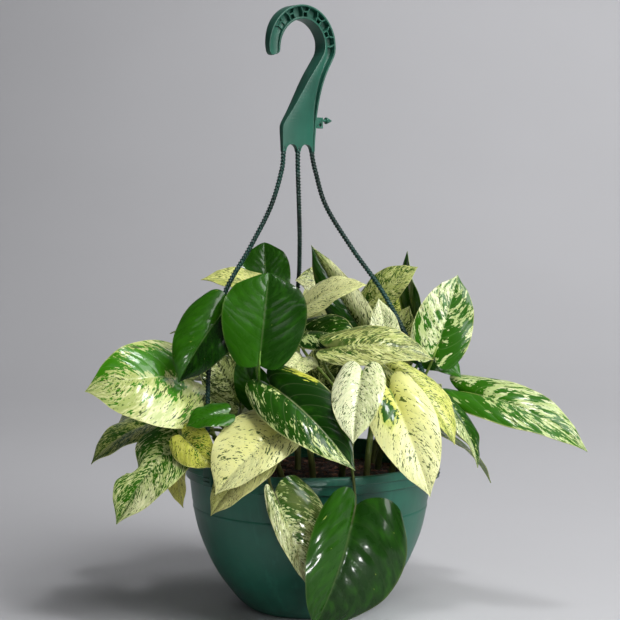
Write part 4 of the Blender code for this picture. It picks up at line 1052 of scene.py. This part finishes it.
def shares_of(leaf):
    """The row of the table, or for a leaf on the far side a seeded one of the same kinds."""
    if leaf.name in MARBLING:
        return MARBLING[leaf.name]
    if leaf.name in GREEN_DEPTH_AND_SHADE:
        return (1.0, 0, 0, 0, GREEN_DEPTH_AND_SHADE[leaf.name], 0, 0)
    draw = random.Random(leaf.name + " marbling")
    deep = draw.uniform(0.4, 0.85)
    if VINES[leaf.vine][0] == "green":
        return (1.0, 0, 0, 0, (deep, deep + 0.15), 0, 0)
    middle, tilt = draw.uniform(0.12, 0.62), draw.uniform(-0.22, 0.22)
    yellow = draw.uniform(0.0, 0.4)
    return ((middle - tilt, middle + tilt), yellow, draw.uniform(0.4, 0.9), draw.uniform(0, 0.15),
            deep, draw.uniform(0.2, 0.9), draw.uniform(0.2, 0.8))


def values_at(leaf, across, share):
    """Each of the kinds at a place on the blade."""
    plus = min(1.0, max(0.0, 0.5 + across / RIB_BLEND))
    values = {}
    for kind, value in zip(KINDS, shares_of(leaf)):
        values[kind] = value[0] + (value[1] - value[0]) * plus if isinstance(value, tuple) else value
    for name, kind, at_across, at_share, size, amount in PATCHES:
        if name == leaf.name:
            gap = math.hypot((across - at_across) * PATCH_NARROW, share - at_share) / size
            values[kind] += amount * math.exp(-gap ** 2)
    return values


print("leaves with shares of their own:", len(MARBLING) + len(GREEN_DEPTH_AND_SHADE))

# %% [markdown]
# ## Finish of the leaves
#
# The blade is waxy: a soft gloss over soft colour. Its pattern needs a coordinate that bends with
# the veins, so each point of the mesh carries its place on the blade. Noise that is drawn out along
# the side veins is cut off sharply where it passes the local share of green, which gives ragged
# streaks. A second, softer cut leaves diluted green round them, and finer noise gives the flecks.
# A table gives the size of each pattern on a blade 90 mm long, from specks of 1.2 mm to patches of
# 18 mm. The wax is a thin clear coat with its own gloss, and the veins raise both by a shallow bump.

# %% Patterns on a leaf
WHITE, CREAM, YELLOW, DILUTE, DILUTE_WHITE = "e8ebc8", "dedd94", "c6c634", "98ab42", "9fb568"
LEAF_LIGHT, LEAF_DEEP, FLECK_GREEN, DRY_AND_SHADE_TONE = "3a7e08", "0a2b01", "2c4806", "8f8256"
VEIN_PALE, UNDERSIDE_TONE = "cfd6a0", "b9c98a"
LONG_MM, HALF_MM, SEED_SPREAD = 90.0, 25.0, 37.0
# Length along a side vein and width across it in millimetres, detail, and an offset of its own
STREAKS = {
    "patches": (12.5, 18.0, 3.0, 0.0), "blotches": (7.8125, 6.923, 4.0, 29.0),
    "strokes": (3.125, 1.875, 3.0, 5.0), "specks": (1.786, 1.216, 1.0, 11.0),
    "dashes": (3.846, 2.143, 1.0, 23.0), "soft": (7.143, 6.923, 3.0, 17.0),
}


def leaf_coordinates(tree):
    """Distance from the midrib with its sign and without, place among the veins, and the seed."""
    place = add(tree, "Attribute", out="Vector", attribute_name="leaf_place")
    across, share, seed = [add(tree, "SeparateXYZ", [place], axis) for axis in range(3)]
    away = add(tree, "Math", [across], operation="ABSOLUTE")
    bow = weighed(tree, 0.0, (away, weighed(tree, VEIN_BOW, (away, VEIN_CURVE))))
    return across, away, weighed(tree, share, (bow, -1.0)), seed


def leaf_streaks(tree, across, vein, seed):
    """Noise that is drawn out along the side veins, in each size of the table."""
    made = {}
    for name, (long, wide, detail, offset) in STREAKS.items():
        spot = add(tree, "CombineXYZ", (weighed(tree, 0.0, (vein, LONG_MM / wide)),
                                        weighed(tree, 0.0, (across, HALF_MM / long)),
                                        weighed(tree, offset, (seed, SEED_SPREAD))))
        made[name] = add(tree, "TexNoise", {"Vector": spot, "Scale": 1.0, "Detail": detail,
                                            "Roughness": 0.55})
    return made


def past_bar(tree, value, bar, below, above):
    """0 where a pattern stays under a bar that moves with the place, 1 past it, with a soft edge."""
    low, high = weighed(tree, below, (bar, 1.0)), weighed(tree, above, (bar, 1.0))
    return add(tree, "MapRange", (value, low, high), **SMOOTH)


print("patterns on a leaf:", list(STREAKS))

# %% Leaf finish
GREEN_EDGE, FLECK_EDGE, QUILT_RELIEF_MM = 0.014, 0.022, 1.6


def marbled(tree, given, streak):
    """Colour of the blade between its veins, by the shares on its points."""
    soft = streak["soft"]
    fine = weighed(tree, 0.0, (streak["patches"], 0.30), (streak["strokes"], 0.48), (streak["specks"], 0.22))
    broad = weighed(tree, 0.0, (streak["strokes"], 0.28), (streak["blotches"], 0.72))
    level = weighed(tree, fine, (weighed(tree, broad, (fine, -1.0)), given["bold"]))
    bar = weighed(tree, 0.67, (given["green"], -0.34))
    is_green = past_bar(tree, level, bar, -GREEN_EDGE, GREEN_EDGE)
    halo = weighed(tree, 0.0, (streak["strokes"], 0.5), (soft, 0.5))
    is_dilute = past_bar(tree, halo, bar, -0.22, 0.02)

    crowd = weighed(tree, 0.0, (streak["patches"], -0.35), (given["fleck"], -0.12))
    marks = [past_bar(tree, streak[name], crowd, rare, rare + FLECK_EDGE)
             for name, rare in (("specks", 0.880), ("dashes", 0.865))]
    has_flecks = add(tree, "Math", (given["fleck"], 0.01), operation="GREATER_THAN")
    is_fleck = weighed(tree, 0.0, (add(tree, "Math", marks, operation="MAXIMUM"), has_flecks))

    whiteness = weighed(tree, -0.4, (given["white"], 1.0), (soft, 0.8), clamp=True)
    thinned = weighed(tree, 0.0, (weighed(tree, 0.1, (given["green"], 2.4), clamp=True), 0.85))
    pale = layered(tree, CREAM, (whiteness, WHITE),
                   (weighed(tree, 0.0, (is_dilute, thinned)),
                    layered(tree, DILUTE, (given["white"], DILUTE_WHITE))),
                   (weighed(tree, 0.0, (given["yellow"], 0.85), clamp=True), YELLOW))
    cloudy = add(tree, "MapRange", (soft, 0.45, 0.75), **SMOOTH)
    # The deep green is partly painted shade: some leaves get a deeper green on the half that turns from the
    # light.
    leafy = layered(tree, LEAF_LIGHT, (weighed(tree, 0.28, (given["deep"], 0.72)), LEAF_DEEP),
                    (weighed(tree, 0.0, (cloudy, 0.22)), LEAF_LIGHT))
    # Khaki dry spots, which on long_cream also paint shade
    khaki_and_shade_spots = add(tree, "MapRange", (soft, 0.3, 0.7), **SMOOTH)
    return layered(tree, pale, (weighed(tree, 0.0, (is_fleck, 0.92)), FLECK_GREEN), (is_green, leafy),
                   (weighed(tree, 0.0, (given["dry"], khaki_and_shade_spots), clamp=True), DRY_AND_SHADE_TONE))


def waxy_leaf(name, roughness, rib_share, vein_share, margin_share, quilting):
    """Marbled or plain waxy blade with its midrib, side veins and pale margin."""
    material, tree = new_finish(name)
    across, away, vein, seed = leaf_coordinates(tree)
    streak = leaf_streaks(tree, across, vein, seed)
    given = {kind: add(tree, "Attribute", out="Fac", attribute_name=kind) for kind in KINDS + ("underside",)}

    near_rib = add(tree, "MapRange", (away, 0.0, 0.035), **SMOOTH)
    margin = add(tree, "MapRange", (away, 0.955, 0.99), **SMOOTH)
    plus_side = add(tree, "Math", (across, 0.0), operation="GREATER_THAN")
    phase = weighed(tree, 0.0, (plus_side, PLUS_PHASE / 2), (vein, math.pi * VEINS))
    wave = add(tree, "Math", [add(tree, "Math", [phase], operation="SINE")], operation="ABSOLUTE")
    near_vein = add(tree, "MapRange", (wave, 0.0, 0.20), **SMOOTH)
    colour = layered(tree, marbled(tree, given, streak),
                     (weighed(tree, rib_share, (near_rib, -rib_share)), VEIN_PALE),
                     (weighed(tree, vein_share, (near_vein, -vein_share)), VEIN_PALE),
                     (weighed(tree, 0.0, (margin, margin_share)), CREAM),
                     (weighed(tree, 0.0, (given["underside"], 0.45)), UNDERSIDE_TONE))

    raised = add(tree, "Math", (wave, 0.6), operation="POWER")
    quilt = weighed(tree, 0.0, (raised, weighed(tree, 0.2, (streak["soft"], 1.2))))
    bump = add(tree, "Bump", {"Height": weighed(tree, quilt, (streak["specks"], 0.12)), "Strength": quilting,
                              "Distance": QUILT_RELIEF_MM * MM})
    return shaded(material, {
        "IOR": 1.40, "Specular IOR Level": 0.20, "Coat Weight": 0.40, "Coat Roughness": 0.08,
        "Base Color": colour, "Normal": bump, "Coat Normal": bump,
        "Roughness": weighed(tree, roughness - 0.07, (streak["soft"], 0.14), (given["underside"], 0.25)),
    })


LEAF_FINISH = {"marbled": waxy_leaf("waxy marbled leaf", 0.32, 0.30, 0.05, 0.35, 0.14),
               "green": waxy_leaf("waxy green leaf", 0.28, 0.06, 0.01, 0.05, 0.07)}
print("finishes:", [finish.name for finish in LEAF_FINISH.values()])

# %% [markdown]
# ## Stalks
#
# Stems and petioles are fresh and fleshy: pale green, a little darker and browner near the mix,
# with faint long ridges, and moist enough to shine a little.

# %% Stalk finish
RIDGE_MM, RIDGE_STRETCH, RIDGE_RELIEF_MM = 1.6, 0.2, 0.4
BROWN_BELOW, BROWN_ENDS = 0.115, 0.165


def fleshy_stalk(name, fresh, pale, brown):
    """Smooth green stalk with long pale streaks and a brownish foot."""
    material, tree = new_finish(name)
    spot = add(tree, "TexCoord", out="Object")
    drawn = add(tree, "Mapping", {"Vector": spot, "Scale": (1.0, 1.0, RIDGE_STRETCH)})
    ridge = add(tree, "TexNoise", {"Vector": drawn, "Scale": 1 / (RIDGE_MM * MM), "Detail": 3.0})
    height = add(tree, "SeparateXYZ", [spot], "Z")
    risen = add(tree, "MapRange", (height, BROWN_BELOW, BROWN_ENDS), **SMOOTH)
    streaked = add(tree, "MapRange", (ridge, 0.42, 0.68), **SMOOTH)
    return shaded(material, {
        "IOR": 1.45, "Roughness": 0.42,
        "Base Color": layered(tree, fresh, (streaked, pale), (weighed(tree, 0.85, (risen, -0.85)), brown)),
        "Normal": add(tree, "Bump", {"Height": ridge, "Strength": 0.2, "Distance": RIDGE_RELIEF_MM * MM}),
    })


STALK_FINISH = {"marbled": fleshy_stalk("fleshy pale stalk", "6f8c34", "9cab5e", "39351a"),
                "green": fleshy_stalk("fleshy green stalk", "44701c", "6c8c34", "322f17")}
print("finishes:", [finish.name for finish in STALK_FINISH.values()])

# %% [markdown]
# ## Growing the vines
#
# A blade could be cut from an outline, but a grid keeps its rows across the veins, which the
# quilting and the marbling both need. It is moved by the rule and then given its thickness. The
# petiole follows the frame's own curve, and the stem is swollen where each leaf has left a scar.

# %% Blades and stalks
COLUMNS, ROWS = 28, 46
PETIOLE_STEPS, PETIOLE_SIDES, STEM_STEPS, STEM_SIDES = 18, 10, 14, 14
PETIOLE_RADIUS, PETIOLE_TAPER, PETIOLE_TAIL, PETIOLE_GROOVE = 1.6, 0.5, (1.0, 0.8, 0.35), 0.10
# The petiole rises from the stem and bends to meet its blade; then places under the blade and how
# deep below it, in thicknesses
RISE, RISE_LEAN, MEET_SHARE, MEET_MOST, MEET_SWAY = 0.36, 0.12, 0.34, 26, 0.4
ARRIVE_ALONG, ARRIVE_FACE, ARRIVE_UP = 0.60, 0.55, 0.25
UNDER_BLADE = ((0.06, 0.6), (0.14, 0.5))
STEM_RADIUS, STEM_TAPER, SCAR_SWELL, STEM_SINK, STEM_RISE = 2.8, 0.5, 0.3, 11.0, 15.0
FIRST_SCAR, SCAR_SPAN = 0.45, 0.5


def add_blade(bm, leaf):
    """Adds one fine blade: a moved grid with thickness, and its shares on its points."""
    layers = {kind: bm.verts.layers.float.get(kind) or bm.verts.layers.float.new(kind)
              for kind in KINDS + ("underside",)}
    place = bm.verts.layers.float_vector.get("leaf_place") or bm.verts.layers.float_vector.new("leaf_place")
    seed = random.Random(leaf.name + " pattern").random()
    before = set(bm.faces)
    verts = bmesh.ops.create_grid(bm, x_segments=COLUMNS, y_segments=ROWS, size=1.0)["verts"]
    for vert in verts:
        across, share = vert.co.x, (vert.co.y + 1) / 2
        vert[place] = (across, share, seed)
        for kind, value in values_at(leaf, across, share).items():
            vert[layers[kind]] = value
        vert.co = leaf.point(across, share, fine=True) * MM
    upper = [face for face in bm.faces if face not in before]
    for face in upper:
        face.normal_update()
    middle = min(upper, key=lambda f: (f.calc_center_median() - leaf.point(0, 0.4) * MM).length_squared)
    if middle.normal.dot(leaf.face) < 0:
        bmesh.ops.reverse_faces(bm, faces=upper)
    tops = set(verts)
    bmesh.ops.solidify(bm, geom=upper, thickness=BLADE * MM)
    for face in [face for face in bm.faces if face not in before]:
        for vert in face.verts:
            if vert not in tops:
                vert[layers["underside"]] = 1.0


def add_petiole(bm, leaf, start):
    """Adds the stalk of a leaf, from inside the stem to under the base of its blade."""
    arrive = (leaf.along * ARRIVE_ALONG + leaf.face * ARRIVE_FACE + UP * ARRIVE_UP).normalized()
    end = leaf.point(0, 0.0) - leaf.face * CAD_BLADE / 2
    reach = (end - start).length
    rise = start + (UP * RISE + (end - start).normalized() * RISE_LEAN) * reach + leaf.sway
    meet = end - arrive * min(MEET_SHARE * reach, MEET_MOST) + leaf.sway * MEET_SWAY
    path = []
    for k in range(PETIOLE_STEPS + 1):
        t = k / PETIOLE_STEPS
        path.append(start * (1 - t) ** 3 + rise * 3 * t * (1 - t) ** 2
                    + meet * 3 * t * t * (1 - t) + end * t ** 3)
    path += [leaf.point(0, share) - leaf.face * CAD_BLADE * deep for share, deep in UNDER_BLADE]

    def radius(i, angle):
        """Thick at the stem, slim at the blade, with a shallow groove along it."""
        slim = PETIOLE_RADIUS - PETIOLE_TAPER * min(1.0, i / PETIOLE_STEPS)
        groove = PETIOLE_GROOVE * max(0.0, math.cos(angle)) ** 4
        return slim * PETIOLE_TAIL[max(0, i - PETIOLE_STEPS)] * (1 - groove)

    sweep(bm, bar_rings(path, radius, PETIOLE_SIDES))


def stem_path(vine):
    """The stem's path: foot in its hole, level of the mix, half way and top."""
    _, (x, y), top = VINES[vine]
    floor = mix_height(x, y) - STEM_SINK + FIT
    ground = Vector((x, y, floor + STEM_RISE))
    return [Vector((x, y, floor)), ground, ground.lerp(Vector(top), 0.5) + UP * 2, Vector(top)]


def add_stem(bm, vine, count):
    """Adds a stem with a swollen ring at each leaf scar."""
    path = smooth_path(stem_path(vine), STEM_STEPS)
    scars = [len(path) * (FIRST_SCAR + SCAR_SPAN * k / max(1, count)) for k in range(count)]

    def radius(i, angle):
        """Slims towards the top, with the swellings and a faint ribbing."""
        swell = SCAR_SWELL * max([math.exp(-(i - scar) ** 2) for scar in scars], default=0)
        return (STEM_RADIUS - STEM_TAPER * i / len(path)) * (0.98 + 0.02 * math.cos(5 * angle)) + swell

    sweep(bm, bar_rings(path, radius, STEM_SIDES))


# %% Grow the vines
for vine, (look, _, _) in VINES.items():
    blades, stalks = bmesh.new(), bmesh.new()
    low, high = stem_path(vine)[2:]
    grown = [(leaf, share) for leaf, share in leaves if leaf.vine == vine]
    for leaf, share in grown:
        add_blade(blades, leaf)
        add_petiole(stalks, leaf, low.lerp(high, share))
    add_stem(stalks, vine, len(grown))
    to_piece(blades, vine + "_leaves", LEAF_FINISH[look], [vine], sharp=75, turn_out=False)
    to_piece(stalks, vine + "_stalks", STALK_FINISH[look], [vine], sharp=75)

# %% [markdown]
# ## Floor and light
#
# A plain pale paper sweep: a floor with a wall at its far end and one far in front, both in a wide
# curve, so that a view from behind also looks at paper. It is an edge line, pulled sideways once.

# %% Paper sweep
SWEEP_WIDTH, SWEEP_FRONT, SWEEP_BACK, SWEEP_CURVE, SWEEP_TOP = 36.0, -7.0, 2.9, 1.6, 4.0
PAPER_CLOUDS, CURVE_STEPS = 1.6, 16


def matt_paper(name, colour, cloud):
    """Heavy matt paper with a barely uneven tone."""
    material, tree = new_finish(name)
    spot = add(tree, "TexCoord", out="Object")
    uneven = add(tree, "TexNoise", {"Vector": spot, "Scale": PAPER_CLOUDS, "Detail": 3.0})
    return shaded(material, {"IOR": 1.4, "Roughness": 0.95,
                             "Base Color": layered(tree, colour, (uneven, cloud))})


sweep_bm = bmesh.new()
bend = [(SWEEP_CURVE * math.sin(turn), SWEEP_CURVE * (1 - math.cos(turn)))
        for turn in [math.pi / 2 * k / CURVE_STEPS for k in range(CURVE_STEPS + 1)]]
line = [(SWEEP_FRONT, SWEEP_TOP)]
line += [(SWEEP_FRONT + SWEEP_CURVE - out, up) for out, up in reversed(bend)]
line += [(SWEEP_BACK - SWEEP_CURVE + out, up) for out, up in bend]
line.append((SWEEP_BACK, SWEEP_TOP))
points = [sweep_bm.verts.new((-SWEEP_WIDTH / 2, y, z)) for y, z in line]
edges = [sweep_bm.edges.new(pair) for pair in zip(points, points[1:])]
pulled = bmesh.ops.extrude_edge_only(sweep_bm, edges=edges)
bmesh.ops.translate(sweep_bm, vec=(SWEEP_WIDTH, 0, 0),
                    verts=[item for item in pulled["geom"] if isinstance(item, bmesh.types.BMVert)])
bmesh.ops.recalc_face_normals(sweep_bm, faces=sweep_bm.faces)
if min(sweep_bm.faces, key=lambda f: f.calc_center_median().z).normal.z < 0:
    bmesh.ops.reverse_faces(sweep_bm, faces=sweep_bm.faces)
paper_mesh = bpy.data.meshes.new("paper_sweep")
sweep_bm.to_mesh(paper_mesh)
sweep_bm.free()
paper_mesh.materials.append(matt_paper("matt grey paper", "b6b6b9", "bfbfc2"))
paper_mesh.shade_smooth()
paper = bpy.data.objects.new("paper_sweep", paper_mesh)
bpy.context.scene.collection.objects.link(paper)
paper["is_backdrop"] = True

# %% [markdown]
# One large soft lamp stands to the right and in front, so the right of the pot is bright and the
# left falls off into shade. A small one from above adds crisp glints, a side lamp opens the right,
# a tiny low one gives the front leaf its spark, and the rest are turned to the paper. A weak even
# sky keeps the shadows open.

# %% Lamps
# Name, place, what it points at, side of its square, power and spread in degrees
LAMPS = (
    ("key_lamp", (0.88, -0.75, 1.25), (0.0, 0.0, 0.18), 0.95, 22.0, 180),
    ("crisp_lamp", (0.24, -0.42, 1.28), (0.0, 0.0, 0.18), 0.18, 4.0, 180),
    ("glint_lamp", (0.20, -1.15, 0.07), (0.03, -0.13, 0.05), 0.10, 0.10, 40),
    ("side_lamp", (1.15, -0.95, 0.62), (0.0, 0.0, 0.15), 0.5, 6.0, 180),
    ("wall_lamp", (1.2, 0.9, 2.2), (0.3, 2.6, 0.7), 1.6, 34.0, 150),
    ("far_lamp", (0.0, -4.6, 3.4), (0.0, -4.8, 0.0), 2.0, 40.0, 120),
    ("left_far_lamp", (-3.8, 0.4, 2.9), (-4.2, 0.4, 0.0), 2.0, 32.0, 90),
    ("right_far_lamp", (3.8, 0.4, 2.9), (4.2, 0.4, 0.0), 2.0, 32.0, 90),
)
for name, spot, aim, size, power, spread in LAMPS:
    lamp_data = bpy.data.lights.new(name, "AREA")
    lamp_data.shape, lamp_data.size, lamp_data.energy = "SQUARE", size, power
    lamp_data.spread = math.radians(spread)
    lamp = bpy.data.objects.new(name, lamp_data)
    lamp.location = spot
    lamp.rotation_euler = (Vector(aim) - Vector(spot)).to_track_quat("-Z", "Y").to_euler()
    lamp.visible_camera = False
    bpy.context.scene.collection.objects.link(lamp)
sky = bpy.data.worlds.new("even sky")
bpy.context.scene.world = sky
sky.use_nodes = True
sky.node_tree.nodes["Background"].inputs["Color"].default_value = linear("e6e7ea")
sky.node_tree.nodes["Background"].inputs["Strength"].default_value = 0.11
print("lamps:", [row[0] for row in LAMPS])

# %% [markdown]
# ## Sizes
#
# The size of the box round the dressed plant is printed.

# %% Print the sizes and finish
low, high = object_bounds()
print("dressed size in mm:", [round(side / MM, 1) for side in high - low])
